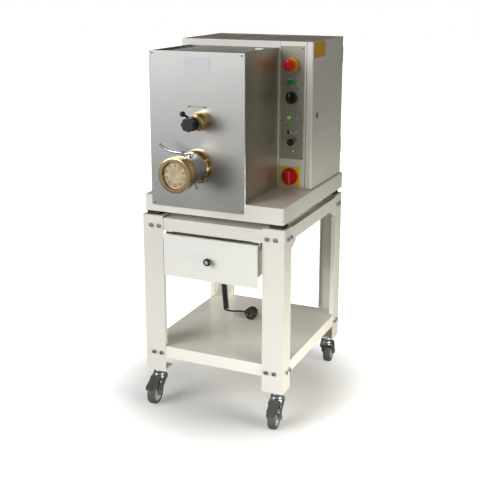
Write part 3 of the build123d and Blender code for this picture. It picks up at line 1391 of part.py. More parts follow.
with BuildPart() as plug_lead:
    with BuildLine() as lead_line:
        FilletPolyline(*lead_points, radius=lead_radii(lead_points))
    with BuildSketch(Plane(origin=lead_points[0], z_dir=lead_points[1] - lead_points[0])):
        Circle(wire / 2)
    sweep(path=lead_line.line)
write(plug_lead.part, "plug_lead")
lead_length = sum(edge.length for edge in lead_line.edges())
radii = [round(radius, 1) for radius in lead_radii(lead_points)]
print(f"plug lead: length {lead_length:.0f}, radii {radii}")

# Plug: an angled earthed plug that lies on the shelf, pins forward
plug_x = plug_boss_x + 32
plug_depth = 34.0
plug_rim = 12.0
plug_front = plug_y - 13
pin_spacing = 19.0
pin_length = 19.0
with BuildPart() as plug:
    with BuildSketch(Plane.XZ.offset(-plug_front)):
        with Locations((plug_x, plug_z)):
            RegularPolygon(plug_radius, 8, major_radius=False, rotation=22.5)
    extrude(amount=-plug_rim)
    body_start = (plug_x, plug_front + plug_rim - 1, plug_z)
    rod(plug_radius - 3, body_start, (plug_x, plug_front + plug_depth, plug_z))
    fillet(plug.faces().sort_by(Axis.Y)[-1].edges(), 4)
    rod(6.5, (plug_boss_x, plug_y, plug_z), (plug_x - plug_radius + 6, plug_y, plug_z))
    rod(9.0, (plug_boss_x + 10, plug_y, plug_z), (plug_x, plug_y, plug_z))
    for side in (-1, 1):
        x = plug_x + side * pin_spacing / 2
        rod(2.4, (x, plug_front - pin_length, plug_z), (x, plug_front + 1, plug_z))
write(plug.part, "plug")
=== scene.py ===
"""Looks of the pasta machine on its trolley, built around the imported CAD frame."""

import math

import bmesh
import bpy
from mathutils import Matrix, Vector


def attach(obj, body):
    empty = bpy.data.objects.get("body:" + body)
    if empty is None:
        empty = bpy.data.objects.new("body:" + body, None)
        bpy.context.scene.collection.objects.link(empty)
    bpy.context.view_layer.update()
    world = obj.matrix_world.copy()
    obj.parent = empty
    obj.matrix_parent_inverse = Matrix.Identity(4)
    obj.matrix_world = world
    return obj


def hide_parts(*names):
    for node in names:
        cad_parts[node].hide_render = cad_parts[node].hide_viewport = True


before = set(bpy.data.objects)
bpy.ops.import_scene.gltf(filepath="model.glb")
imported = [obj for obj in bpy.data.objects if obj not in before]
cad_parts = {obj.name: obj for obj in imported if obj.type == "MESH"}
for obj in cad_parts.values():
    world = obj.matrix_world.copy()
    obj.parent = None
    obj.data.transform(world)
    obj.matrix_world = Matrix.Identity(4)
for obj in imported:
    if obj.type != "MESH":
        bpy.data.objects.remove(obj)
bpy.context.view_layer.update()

MM = 0.001
scene = bpy.context.scene
scene.view_settings.view_transform = "Standard"

# Places that the CAD source fixes, in millimetres
PLATE_FACE_Y = -245.8
HOUSING_FRONT_Y = 53.2
CONTROL_FACE_Y = HOUSING_FRONT_Y - 1.5
DOOR_FACE_X = 254.0
PAN_FACE_Y = -266.8
MIDDLE_X = 177.5
MIXER_X, MIXER_Z = -31.0, 1077.0
AUGER_X, AUGER_Z = -51.0, 918.3


# ---------------------------------------------------------------- camera
PICTURE_SIDE_PX = 480
FOCAL_LENGTH_PX = 889.2
CAMERA_PLACE = Vector((1307.9, -2902.9, 1547.1))
CAMERA_DOWN = 14.2
CAMERA_TURN = 24.3
CAMERA_SHIFT_Y = -0.08


def make_camera():
    """The photograph's camera: a long lens from the right, above the machine and tilted down."""
    data = bpy.data.cameras.new("camera")
    data.sensor_width = 36.0
    data.lens = FOCAL_LENGTH_PX / PICTURE_SIDE_PX * data.sensor_width
    data.shift_y = CAMERA_SHIFT_Y
    data.clip_end = 60
    camera = bpy.data.objects.new("camera", data)
    camera.location = CAMERA_PLACE * MM
    camera.rotation_euler = (math.radians(90 - CAMERA_DOWN), 0, math.radians(CAMERA_TURN))
    scene.collection.objects.link(camera)
    scene.camera = camera


make_camera()


# ---------------------------------------------------------------- node helpers
class Nodes:
    """A small wrapper that adds nodes to one tree and links them by socket."""

    def __init__(self, tree):
        self.tree = tree

    def add(self, kind, inputs=None, **settings):
        node = self.tree.nodes.new(kind)
        for key, value in settings.items():
            setattr(node, key, value)
        for key, value in (inputs or {}).items():
            self.put(node.inputs[key], value)
        return node

    def put(self, socket, value):
        if isinstance(value, bpy.types.NodeSocket):
            self.tree.links.new(value, socket)
        elif isinstance(value, bpy.types.Node):
            self.tree.links.new(value.outputs[0], socket)
        else:
            socket.default_value = value

    def math(self, operation, *values):
        node = self.add("ShaderNodeMath", operation=operation)
        for socket, value in zip(node.inputs, values):
            self.put(socket, value)
        return node

    def ramp(self, value, low, high, start=0.0, end=1.0, kind="LINEAR"):
        """The value carried from the range low to high over to start to end."""
        ranges = {"Value": value, "From Min": low, "From Max": high, "To Min": start, "To Max": end}
        return self.add("ShaderNodeMapRange", ranges, interpolation_type=kind)

    def spread(self, value, low, high):
        """The value's middle range stretched from low to high."""
        return self.ramp(value, 0.3, 0.7, low, high)

    def blend(self, factor, under, over):
        """The colour under, which the factor turns into the colour over."""
        mixed = self.add("ShaderNodeMix", {"Factor": factor}, data_type="RGBA")
        self.put(mixed.inputs["A"], under)
        self.put(mixed.inputs["B"], over)
        return mixed.outputs["Result"]


def shade(color, factor):
    """The colour made lighter or darker by a factor, with its alpha."""
    return tuple(min(1.0, part * factor) for part in color[:3]) + (1.0,)


def new_material(name):
    made = bpy.data.materials.new(name)
    made.use_nodes = True
    made.node_tree.nodes.clear()
    return made, Nodes(made.node_tree)


def surface(
    name,
    color,
    roughness,
    metallic=0.0,
    mottle=0.05,
    mottle_scale=8.0,
    spread=0.06,
    grain=(1.0, 1.0, 1.0),
    grain_scale=500.0,
    bump=0.1,
    bump_depth=0.1,
    turned=None,
    second=None,
    top=None,
    groove=None,
    **sockets,
):
    """A procedural finish: mottled colour, uneven gloss and a fine grain.

    turned gives the (x, z) line along Y that a part was turned about, so that the grain runs round it.
    second is a colour that the mottling drifts to instead of a darker shade of the first.
    top is a darker colour for the faces that look up, as painted shade; groove the radius in
    millimetres below which the sides of a turned part are darkened with painted shade.
    """
    made, nodes = new_material(name)
    place = nodes.add("ShaderNodeTexCoord").outputs["Object"]
    if turned:
        x, z = turned
        parts = nodes.add("ShaderNodeSeparateXYZ", {"Vector": place})
        across = nodes.math("SUBTRACT", parts.outputs["X"], x * MM)
        up = nodes.math("SUBTRACT", parts.outputs["Z"], z * MM)
        squares = nodes.math("MULTIPLY", across, across), nodes.math("MULTIPLY", up, up)
        radius = nodes.math("SQRT", nodes.math("ADD", *squares))
        ring = {"X": radius, "Y": parts.outputs["Y"]}
        grain_place = nodes.add("ShaderNodeCombineXYZ", ring).outputs[0]
    else:
        grain_place = nodes.add("ShaderNodeMapping", {"Vector": place, "Scale": grain}).outputs[0]
    patch = nodes.add("ShaderNodeTexNoise", {"Vector": place, "Scale": mottle_scale, "Detail": 3.0})
    fine_inputs = {"Vector": grain_place, "Scale": grain_scale, "Detail": 2.0}
    fine = nodes.add("ShaderNodeTexNoise", fine_inputs)
    share = nodes.spread(patch.outputs["Fac"], 0.0, 1.0)
    drift = (*second, 1.0) if second else shade(color, 1 - mottle / 2)
    tint = nodes.blend(share.outputs[0], shade(color, 1 + mottle / 2), drift)
    if top or groove:
        normal = nodes.add("ShaderNodeNewGeometry").outputs["Normal"]
        way = nodes.add("ShaderNodeSeparateXYZ", {"Vector": normal})
    # Painted shade: faces that look up turn to the darker top colour.
    if top:
        painted_top_shade_share = nodes.ramp(way.outputs["Z"], 0.75, 0.95)
        tint = nodes.blend(painted_top_shade_share.outputs[0], tint, (*top, 1.0))
    # Painted shade: side walls of turned parts inside the groove radius are darkened.
    if groove:
        low = nodes.ramp(radius, groove * MM, (groove + 1.5) * MM, 1.0, 0.0)
        side = nodes.ramp(nodes.math("ABSOLUTE", way.outputs["Y"]), 0.8, 0.5)
        groove_painted_shade = nodes.math("MULTIPLY", low.outputs[0], side.outputs[0])
        tint = nodes.blend(groove_painted_shade, tint, shade(color, 0.35))
    halves = nodes.math("MULTIPLY", patch.outputs["Fac"], 0.5), nodes.math("MULTIPLY", fine, 0.5)
    both = nodes.math("ADD", *halves)
    shader = nodes.add("ShaderNodeBsdfPrincipled", {"Base Color": tint, "Metallic": metallic})
    gloss = nodes.spread(both, max(0.02, roughness - spread), roughness + spread)
    nodes.put(shader.inputs["Roughness"], gloss)
    for key, value in sockets.items():
        shader.inputs[key.replace("_", " ").title()].default_value = value
    if bump:
        depths = {"Strength": bump, "Distance": bump_depth * MM, "Height": fine.outputs["Fac"]}
        relief = nodes.add("ShaderNodeBump", depths)
        nodes.put(shader.inputs["Normal"], relief)
    output = nodes.add("ShaderNodeOutputMaterial")
    nodes.put(output.inputs["Surface"], shader)
    return made


# ---------------------------------------------------------------- finishes
PAINT = (0.78, 0.762, 0.715)
FINISHES = {
    "paint": surface("cream_paint", PAINT, 0.30, mottle=0.03, spread=0.04, grain_scale=900,
                     bump=0.12, coat_weight=0.25, coat_roughness=0.12),
    # The shelf's cream is paler than the rest of the paint, as painted light for the shelf under the
    # machine.
    "shelf_paint_with_painted_light": surface("cream_shelf_paint", (0.90, 0.875, 0.82), 0.42, mottle=0.04, spread=0.05,
                           grain_scale=700, bump=0.08, coat_weight=0.5, coat_roughness=0.16),
    "drawer_paint": surface("cream_drawer_paint", (0.83, 0.83, 0.80), 0.30, mottle=0.03,
                            spread=0.04, grain_scale=900, bump=0.12, coat_weight=0.25,
                            coat_roughness=0.12),
    # The housing's faces that look up get a dark grey top colour as painted shade.
    "shell_paint_with_painted_top_shade": surface("shell_paint_with_painted_top_shade", PAINT, 0.30, mottle=0.03, spread=0.04, grain_scale=900,
                           bump=0.12, top=(0.30, 0.295, 0.262), coat_weight=0.1,
                           coat_roughness=0.2),
    "plate": surface("brushed_plate", (0.48, 0.486, 0.478), 0.38, 1.0, mottle=0.10, mottle_scale=5,
                     spread=0.07, grain=(0.02, 1.0, 1.0), grain_scale=1600, bump=0.25,
                     bump_depth=0.05),
    "casing": surface("casing_steel", (0.60, 0.565, 0.47), 0.42, 1.0, mottle=0.12, mottle_scale=6,
                      spread=0.08, grain=(1.0, 0.02, 1.0), grain_scale=1500, bump=0.2,
                      bump_depth=0.05),
    # The tank's steel is darkened as painted shade for its inside under the lid.
    "tank": surface("tank_steel_painted_shade", (0.16, 0.155, 0.14), 0.42, 0.8, mottle=0.1, grain_scale=900),
    # The lid's steel is darkened as a painted dark reflection of the room above it.
    "grate": surface("grate_steel_painted_dark_reflection", (0.20, 0.195, 0.175), 0.40, 0.8, mottle=0.1, grain_scale=900),
    "zinc": surface("zinc_plate", (0.62, 0.67, 0.70), 0.28, 1.0, mottle=0.16, mottle_scale=120,
                    spread=0.1, grain_scale=400, bump=0.2),
    "chrome": surface("chrome_plate", (0.74, 0.77, 0.80), 0.10, 1.0, mottle=0.04, spread=0.03,
                      bump=0.03),
    "steel": surface("ground_steel", (0.58, 0.58, 0.56), 0.28, 1.0, mottle=0.1, mottle_scale=40),
    "cast_iron": surface("cast_iron", (0.13, 0.14, 0.15), 0.55, 0.4, mottle=0.2, grain_scale=300,
                         bump=0.4),
    "tyre": surface("grey_rubber", (0.085, 0.088, 0.088), 0.62, mottle=0.14, mottle_scale=60,
                    grain_scale=500, bump=0.2),
    "pedal": surface("pedal_plastic", (0.075, 0.082, 0.078), 0.48, mottle=0.1, mottle_scale=60,
                     grain_scale=800),
    "rubber": surface("black_rubber", (0.012, 0.012, 0.011), 0.55, mottle=0.2, mottle_scale=50,
                      grain_scale=600),
    "black": surface("black_plastic", (0.014, 0.014, 0.014), 0.36, mottle=0.2, mottle_scale=60,
                     grain_scale=900, bump=0.08),
    # Its groove radius paints shade on the side walls inside the nut and flange.
    "brass": surface("turned_brass", (0.76, 0.56, 0.30), 0.22, 1.0, mottle=0.14, mottle_scale=45,
                     spread=0.08, grain_scale=900, bump=0.25, turned=(AUGER_X, AUGER_Z),
                     groove=56.5),
    "bush_brass": surface("turned_bush_brass", (0.74, 0.52, 0.25), 0.20, 1.0, mottle=0.14,
                          mottle_scale=45, spread=0.08, grain_scale=900, bump=0.25,
                          turned=(MIXER_X, MIXER_Z)),
    "bronze": surface("die_bronze", (0.66, 0.56, 0.40), 0.40, 0.85, mottle=0.3, mottle_scale=60,
                      spread=0.08, grain_scale=1100, bump=0.2, turned=(AUGER_X, AUGER_Z),
                      second=(0.46, 0.36, 0.22)),
    "bronze_pin": surface("core_pin_bronze", (0.80, 0.72, 0.56), 0.34, 0.9, mottle=0.1,
                          mottle_scale=90),
    "polished": surface("polished_sleeve", (0.60, 0.61, 0.60), 0.24, 1.0, mottle=0.08,
                        mottle_scale=30, spread=0.05, grain_scale=1300, bump=0.2,
                        turned=(AUGER_X, AUGER_Z)),
    "panel": surface("panel_film", (0.35, 0.35, 0.30), 0.45, 0.1, mottle=0.08, mottle_scale=300,
                     grain_scale=1400, bump=0.3),
    "amber": surface("amber_plastic", (0.74, 0.33, 0.015), 0.30, mottle=0.08, mottle_scale=60,
                     bump=0.04),
    "red": surface("red_plastic", (0.62, 0.006, 0.014), 0.26, mottle=0.1, mottle_scale=60,
                   bump=0.04),
    "green": surface("green_plastic", (0.006, 0.26, 0.055), 0.26, mottle=0.1, mottle_scale=60,
                     bump=0.04),
    "yellow": surface("yellow_plastic", (0.80, 0.66, 0.02), 0.34, mottle=0.05, mottle_scale=60,
                      bump=0.04),
    "cord": surface("cord_jacket", (0.010, 0.010, 0.010), 0.42, mottle=0.2, mottle_scale=80,
                    grain_scale=900),
    "grey": surface("grey_plastic", (0.42, 0.43, 0.42), 0.45, mottle=0.06, mottle_scale=60),
    "ink": surface("printed_ink", (0.035, 0.033, 0.030), 0.5, mottle=0.2, mottle_scale=200,
                   bump=0.02),
    "print_red": surface("printed_red_line", (0.22, 0.10, 0.09), 0.5, mottle=0.2, mottle_scale=200,
                         bump=0.02),
    "label": surface("pale_label", (0.62, 0.635, 0.67), 0.35, mottle=0.04, mottle_scale=90,
                     bump=0.02),
    "amber_label": surface("amber_label_film", (0.82, 0.42, 0.03), 0.35, mottle=0.06,
                           mottle_scale=90, bump=0.02),
    "dark_steel": surface("dark_screw_steel", (0.22, 0.21, 0.19), 0.32, 0.9, mottle=0.2,
                          mottle_scale=200),
    # A paler copy of the steel as painted highlight, for the plate's edge beads and the lid tab.
    "painted_highlight_steel": surface("steel_edge_painted_highlight", (0.86, 0.85, 0.80), 0.22, 1.0, mottle=0.08,
                           mottle_scale=60),
    "green_lens": surface("green_lens", (0.16, 0.62, 0.02), 0.12, mottle=0.1, mottle_scale=150,
                          bump=0.02, emission_color=(0.18, 0.80, 0.03, 1),
                          emission_strength=0.25),
    "red_lens": surface("red_lens", (0.30, 0.004, 0.008), 0.12, mottle=0.1, mottle_scale=150,
                        bump=0.02),
}

CAD_FINISH = {
    "paint": ["legs", "frame_rails", "drawer_runners", "base_pan", "service_door"],
    "shell_paint_with_painted_top_shade": ["housing_shell", "control_column"],
    "drawer_paint": ["drawer"],
    "shelf_paint_with_painted_light": ["shelf"],
    "plate": ["front_plate"],
    "casing": ["tank_casing"],
    "tank": ["mixing_tank", "bulkhead"],
    "grate": ["lid_grate"],
    "zinc": ["trolley_bolts", "caster_stems", "caster_fork_fl", "caster_fork_fr", "caster_fork_rl",
             "caster_fork_rr"],
    "tyre": ["caster_wheel_fl", "caster_wheel_fr", "caster_wheel_rl", "caster_wheel_rr"],
    "pedal": ["brake_pedal_left", "brake_pedal_right"],
    "rubber": ["rubber_pads"],
    "black": ["drawer_knob", "lobed_knob", "ball_lever", "selector_knob", "speed_knob", "cord_gland",
              "plug"],
    "chrome": ["door_lock", "chrome_bezels", "upper_toggle", "lower_toggle"],
    "steel": ["mixing_shaft", "auger", "mixer_gear", "auger_gear", "drive_pinion"],
    "cast_iron": ["gearmotor"],
    "grey": ["motor_fan", "control_gear"],
    "bush_brass": ["mixer_bush"],
    "brass": ["barrel_flange", "ring_nut"],
    "bronze": ["die"],
    "polished": ["barrel_sleeve"],
    "panel": ["control_plate"],
    "amber": ["estop_collar"],
    "red": ["estop_button", "main_switch_knob", "lamp_lenses"],
    "green": ["start_button"],
    "yellow": ["switch_plate"],
    "cord": ["curly_cord", "plug_lead"],
}
for finish_name, node_names in CAD_FINISH.items():
    for node_name in node_names:
        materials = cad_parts[node_name].data.materials
        materials.clear()
        materials.append(FINISHES[finish_name])


# ---------------------------------------------------------------- forms
def soften(outline, amount, steps=3):
    """The same closed outline with its corners rounded by short quadratic curves."""
    made = []
    for number, corner in enumerate(outline):
        here = Vector(corner)
        before, after = Vector(outline[number - 1]), Vector(outline[(number + 1) % len(outline)])
        reach_in = min(amount, 0.45 * (before - here).length)
        reach_out = min(amount, 0.45 * (after - here).length)
        start = here + (before - here).normalized() * reach_in
        end = here + (after - here).normalized() * reach_out
        for step in range(steps + 1):
            share = step / steps
            made.append(start * (1 - share) ** 2 + here * 2 * share * (1 - share) + end * share**2)
    return made


def facing(origin, normal):
    """A placing whose Z runs along a level normal and whose Y points up."""
    z = Vector(normal).normalized()
    x = Vector((0, 0, 1)).cross(z).normalized()
    place = Matrix((x, z.cross(x), z)).transposed().to_4x4()
    place.translation = Vector(origin)
    return place


SHARP_EDGE_DEGREES = 38
BEVELLED_FROM_RADIANS = 0.6
FRONT = (0, -1, 0)
BACK = (0, 1, 0)
RIGHT = (1, 0, 0)
ALONG_Y = facing((0, 0, 0), BACK)
SUNK = Matrix.Translation((0, 0, -0.1))


class Piece:
    """One piece of the object, built in millimetres from several forms in one mesh."""

    def __init__(self, name, body, slot):
        self.name, self.body, self.slot = name, body, slot
        self.mesh = bmesh.new()
        self.finishes = []

    def take(self, form, finish, place=None, bevel=0.0, steps=2):
        if bevel:
            shared = [e for e in form.edges if len(e.link_faces) == 2]
            sharp = [e for e in shared if e.calc_face_angle(0) > BEVELLED_FROM_RADIANS]
            bmesh.ops.bevel(form, geom=sharp, offset=bevel, segments=steps, profile=0.5,
                            affect="EDGES", clamp_overlap=True)
        bmesh.ops.recalc_face_normals(form, faces=form.faces)
        if place is not None:
            form.transform(place)
        if finish not in self.finishes:
            self.finishes.append(finish)
        for face in form.faces:
            face.material_index = self.finishes.index(finish)
        held = bpy.data.meshes.new("form")
        form.to_mesh(held)
        form.free()
        self.mesh.from_mesh(held)
        bpy.data.meshes.remove(held)

    def turned(self, finish, place, profile, segments=40):
        """A form turned about the placing's Z, from points of height and radius."""
        form = bmesh.new()
        rings = []
        for height, radius in profile:
            if radius == 0:
                rings.append([form.verts.new((0, 0, height))])
                continue
            angles = [2 * math.pi * k / segments for k in range(segments)]
            around = [(radius * math.cos(a), radius * math.sin(a), height) for a in angles]
            rings.append([form.verts.new(point) for point in around])
        for low, high in zip(rings, rings[1:]):
            if len(low) == len(high) == 1:
                continue
            for k in range(segments):
                lower = [low[k % len(low)], low[(k + 1) % len(low)]]
                upper = [high[(k + 1) % len(high)], high[k % len(high)]]
                corners = lower + upper
                form.faces.new(list(dict.fromkeys(corners)))
        self.take(form, finish, place)

    def prism(self, finish, place, outline, depth, bevel=0.0, softness=0.0, steps=2):
        """An outline in the placing's XY, made thick along its Z."""
        if softness:
            outline = soften(outline, softness)
        form = bmesh.new()
        base = [form.verts.new((x, y, 0)) for x, y in outline]
        top = [form.verts.new((x, y, depth)) for x, y in outline]
        form.faces.new(base[::-1])
        form.faces.new(top)
        for k in range(len(base)):
            m = (k + 1) % len(base)
            form.faces.new((base[k], base[m], top[m], top[k]))
        self.take(form, finish, place, bevel, steps)

    def box(self, finish, low, high, bevel=0.0, place=None):
        (x0, y0, z0), (x1, y1, z1) = low, high
        at = Matrix.Translation((0, 0, z0))
        outline = [(x0, y0), (x1, y0), (x1, y1), (x0, y1)]
        self.prism(finish, place @ at if place else at, outline, z1 - z0, bevel)

    def tube(self, finish, points, radius, segments=14):
        """A round bar along a line of points."""
        points = [Vector(p) for p in points]
        form = bmesh.new()
        rings, side = [], None
        for number, here in enumerate(points):
            before, after = points[max(number - 1, 0)], points[min(number + 1, len(points) - 1)]
            way = (after - before).normalized()
            start = side if side else way.orthogonal()
            side = (start - way * start.dot(way)).normalized()
            other = way.cross(side)
            angles = [2 * math.pi * k / segments for k in range(segments)]
            spokes = [(side * math.cos(a) + other * math.sin(a)) * radius for a in angles]
            rings.append([form.verts.new(here + spoke) for spoke in spokes])
        form.faces.new(rings[0][::-1])
        form.faces.new(rings[-1])
        for low, high in zip(rings, rings[1:]):
            for k in range(segments):
                m = (k + 1) % segments
                form.faces.new((low[k], low[m], high[m], high[k]))
        self.take(form, finish)

    def done(self, *replaced):
        """The finished object, riding on its body and standing for the CAD nodes named."""
        self.mesh.transform(Matrix.Scale(MM, 4))
        data = bpy.data.meshes.new(self.name)
        self.mesh.to_mesh(data)
        self.mesh.free()
        data.shade_smooth()
        data.set_sharp_from_angle(angle=math.radians(SHARP_EDGE_DEGREES))
        for finish in self.finishes:
            data.materials.append(FINISHES[finish])
        made = bpy.data.objects.new(self.name, data)
        scene.collection.objects.link(made)
        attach(made, self.body)
        if replaced:
            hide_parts(*replaced)
        return made


def polygon(radius, corners, turn=0.0):
    """A regular outline inside a radius, turned by degrees."""
    angles = [2 * math.pi * k / corners + math.radians(turn) for k in range(corners)]
    return [(radius * math.cos(a), radius * math.sin(a)) for a in angles]


def rectangle(width, height):
    """An outline centred on the placing."""
    x, y = width / 2, height / 2
    return [(-x, -y), (x, -y), (x, y), (-x, y)]


# ---------------------------------------------------------------- cord
WIRE = 7.0
CURL_RADIUS = 8.0
CURL_TURNS = 56
CURL_PITCH = 7.8
CURL_FOOT_SHIFT = (34.0, -2.0)
LEAD_RUN = 18.0
POINTS_PER_TURN = 12
GLAND_TIP = Vector((-150.0, 120.7, 713.0))
ENTRY_RADIUS = 9.0
PLUG_BOSS_X = -46.0
PLUG_Y = 136.0
PLUG_CENTRE = Vector((-14.0, 123.0, 253.0))


def cord_route():
    """The curly cord's own points from the gland to the plug, in millimetres."""
    slope = math.atan(CURL_PITCH / (2 * math.pi * CURL_RADIUS))
    entry_x = ENTRY_RADIUS * (1 - math.sin(slope))
    start_z = GLAND_TIP.z - WIRE - ENTRY_RADIUS * math.cos(slope)
    top = Vector((GLAND_TIP.x + entry_x, GLAND_TIP.y + CURL_RADIUS, start_z))
    foot_x, foot_y = GLAND_TIP.x + CURL_FOOT_SHIFT[0], GLAND_TIP.y + CURL_FOOT_SHIFT[1]
    lean = Vector((foot_x - top.x, foot_y - top.y, 0))
    control_radius = CURL_RADIUS / math.cos(math.pi / POINTS_PER_TURN)
    points = [GLAND_TIP, GLAND_TIP - Vector((0, 0, WIRE))]
    points.append(Vector((GLAND_TIP.x, GLAND_TIP.y, start_z + entry_x * math.tan(slope))))
    for number in range(CURL_TURNS * POINTS_PER_TURN):
        turn = (number + 0.5) / POINTS_PER_TURN
        angle = 2 * math.pi * turn - math.pi / 2
        radial = Vector((math.cos(angle), math.sin(angle), 0))
        axis = top + lean * (turn / CURL_TURNS) ** 2 - Vector((0, 0, CURL_PITCH * turn))
        points.append(axis + radial * control_radius)
    way = Vector((math.cos(slope), 0, -math.sin(slope)))
    last = top + lean - Vector((0, 0, CURL_PITCH * CURL_TURNS)) - Vector((0, CURL_RADIUS, 0))
    end = last + way * WIRE
    boss = Vector((PLUG_BOSS_X, PLUG_Y, PLUG_CENTRE.z))
    return points + [end, end + way * LEAD_RUN, boss - Vector((LEAD_RUN, 0, 0)), boss]


def make_cord():
    """The curly cord as one round curve from the gland to the plug."""
    data = bpy.data.curves.new("curly_lead", "CURVE")
    data.dimensions = "3D"
    data.bevel_depth = WIRE / 2 * MM
    data.bevel_resolution = 4
    data.use_fill_caps = True
    spline = data.splines.new("NURBS")
    points = cord_route()
    spline.points.add(len(points) - 1)
    for control, point in zip(spline.points, points):
        control.co = (*(point * MM), 1.0)
    spline.order_u = 3
    spline.use_endpoint_u = True
    spline.resolution_u = 3
    cord = bpy.data.objects.new("curly_lead", data)
    scene.collection.objects.link(cord)
    data.materials.append(FINISHES["cord"])
    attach(cord, "frame")
    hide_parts("curly_cord", "plug_lead")
    return cord


cord = make_cord()


# ---------------------------------------------------------------- cord fittings
BASE_BOTTOM_Z = 741.0


def make_strain_relief():
    """Gland: locknut and thread in the pan, hexagon under it and a nut that tapers to the cord."""
    piece = Piece("strain_relief", "frame", "black_plastic")
    upright = Matrix.Translation((GLAND_TIP.x, GLAND_TIP.y, 0))
    profile = [(BASE_BOTTOM_Z - 8, 0), (BASE_BOTTOM_Z - 8, 10.6), (BASE_BOTTOM_Z - 12, 10.6),
               (BASE_BOTTOM_Z - 14, 9.6)]
    for ring in range(4):
        z = BASE_BOTTOM_Z - 15 - 3 * ring
        radius = 9.4 - 1.35 * ring
        profile += [(z, radius), (z - 1.7, radius - 0.3), (z - 1.9, radius - 1.1),
                    (z - 2.7, radius - 1.3)]
    profile += [(GLAND_TIP.z, 4.6), (GLAND_TIP.z, 3.4), (GLAND_TIP.z + 2, 3.4)]
    piece.turned("black", upright, profile)
    for low, high in ((-8, 0), (2, 7)):
        at = Matrix.Translation((GLAND_TIP.x, GLAND_TIP.y, BASE_BOTTOM_Z + low))
        piece.prism("black", at, polygon(12, 6), high - low, bevel=0.8)
    thread = [(BASE_BOTTOM_Z - 1, 0), (BASE_BOTTOM_Z - 1, 7.9), (BASE_BOTTOM_Z + 10, 7.9),
              (BASE_BOTTOM_Z + 10, 0)]
    piece.turned("black", upright, thread)
    return piece.done("cord_gland")


def make_plug():
    """Angled earthed plug: eight-sided rim, ribbed grip, side boss and two pins."""
    piece = Piece("angled_plug", "frame", "black_plastic")
    front = facing(PLUG_CENTRE, BACK)
    piece.prism("black", front, polygon(25.7, 8, 22.5), 12, bevel=2.2, steps=3)
    face = [(1, 11), (-0.2, 12), (-1.6, 13), (-1.6, 15), (-0.4, 16), (-0.4, 18.4), (-1.6, 19.2),
            (-1.6, 20.6), (0.6, 21.6)]
    piece.turned("black", front, face, segments=48)
    body = front @ Matrix.Translation((0, 0, 10))
    piece.prism("black", body, polygon(22.8, 8, 22.5), 20, bevel=2.6, steps=3)
    grip = front @ Matrix.Translation((0, 0, 28))
    piece.prism("black", grip, polygon(18.5, 8, 22.5), 5.5, bevel=2.4, steps=3)
    for number in range(5):
        x = -12 + 6 * number
        piece.box("black", (x - 0.9, -12, 33), (x + 0.9, 12, 34.6), bevel=0.5, place=front)
    boss = facing((PLUG_BOSS_X, PLUG_Y, PLUG_CENTRE.z), RIGHT)
    sleeve = [(0, 3.3), (0, 4.6), (2, 5.0), (2.4, 4.4), (4, 4.6), (4.4, 5.8), (6.4, 6.2), (6.8, 5.4),
              (8.6, 5.6), (9, 7.0), (12, 8.2), (18, 9.4), (28, 9.4)]
    piece.turned("cord", boss, sleeve)
    for side in (-1, 1):
        pin = facing(PLUG_CENTRE + Vector((side * 9.5, 1, 0)), FRONT)
        piece.turned("black", pin, [(0, 0), (0, 2.35), (9, 2.35), (9, 0)], segments=16)
        piece.turned("steel", pin, [(8, 0), (8, 2.4), (18.4, 2.4), (20, 1.2), (20, 0)], segments=16)
    return piece.done("plug")


strain_relief = make_strain_relief()
plug = make_plug()


# ---------------------------------------------------------------- casters
SWIVEL_REST = {"fl": 5.0, "fr": 8.0, "rl": 168.0, "rr": 188.0}
CASTER_X = 238.0
CASTER_YS = {"f": -212.8, "r": 328.2}
TRAIL = 42.0
AXLE_Z = 45.0
CHEEK_GAP = 21.5
CHEEK_THICK = 2.5
PEDAL_PIN = (30, -24, 92)
UPENDED = Matrix.Rotation(math.radians(90), 4, "X")


def caster_place(name):
    """The caster's own placing: X along the way that it trails, Y across the wheel."""
    angle = math.radians(SWIVEL_REST[name])
    x_axis = Vector((math.sin(angle), -math.cos(angle), 0))
    place = Matrix((x_axis, Vector((0, 0, 1)).cross(x_axis), (0, 0, 1))).transposed().to_4x4()
    place.translation = (CASTER_X * (-1 if name[1] == "l" else 1), CASTER_YS[name[0]], 0)
    return place


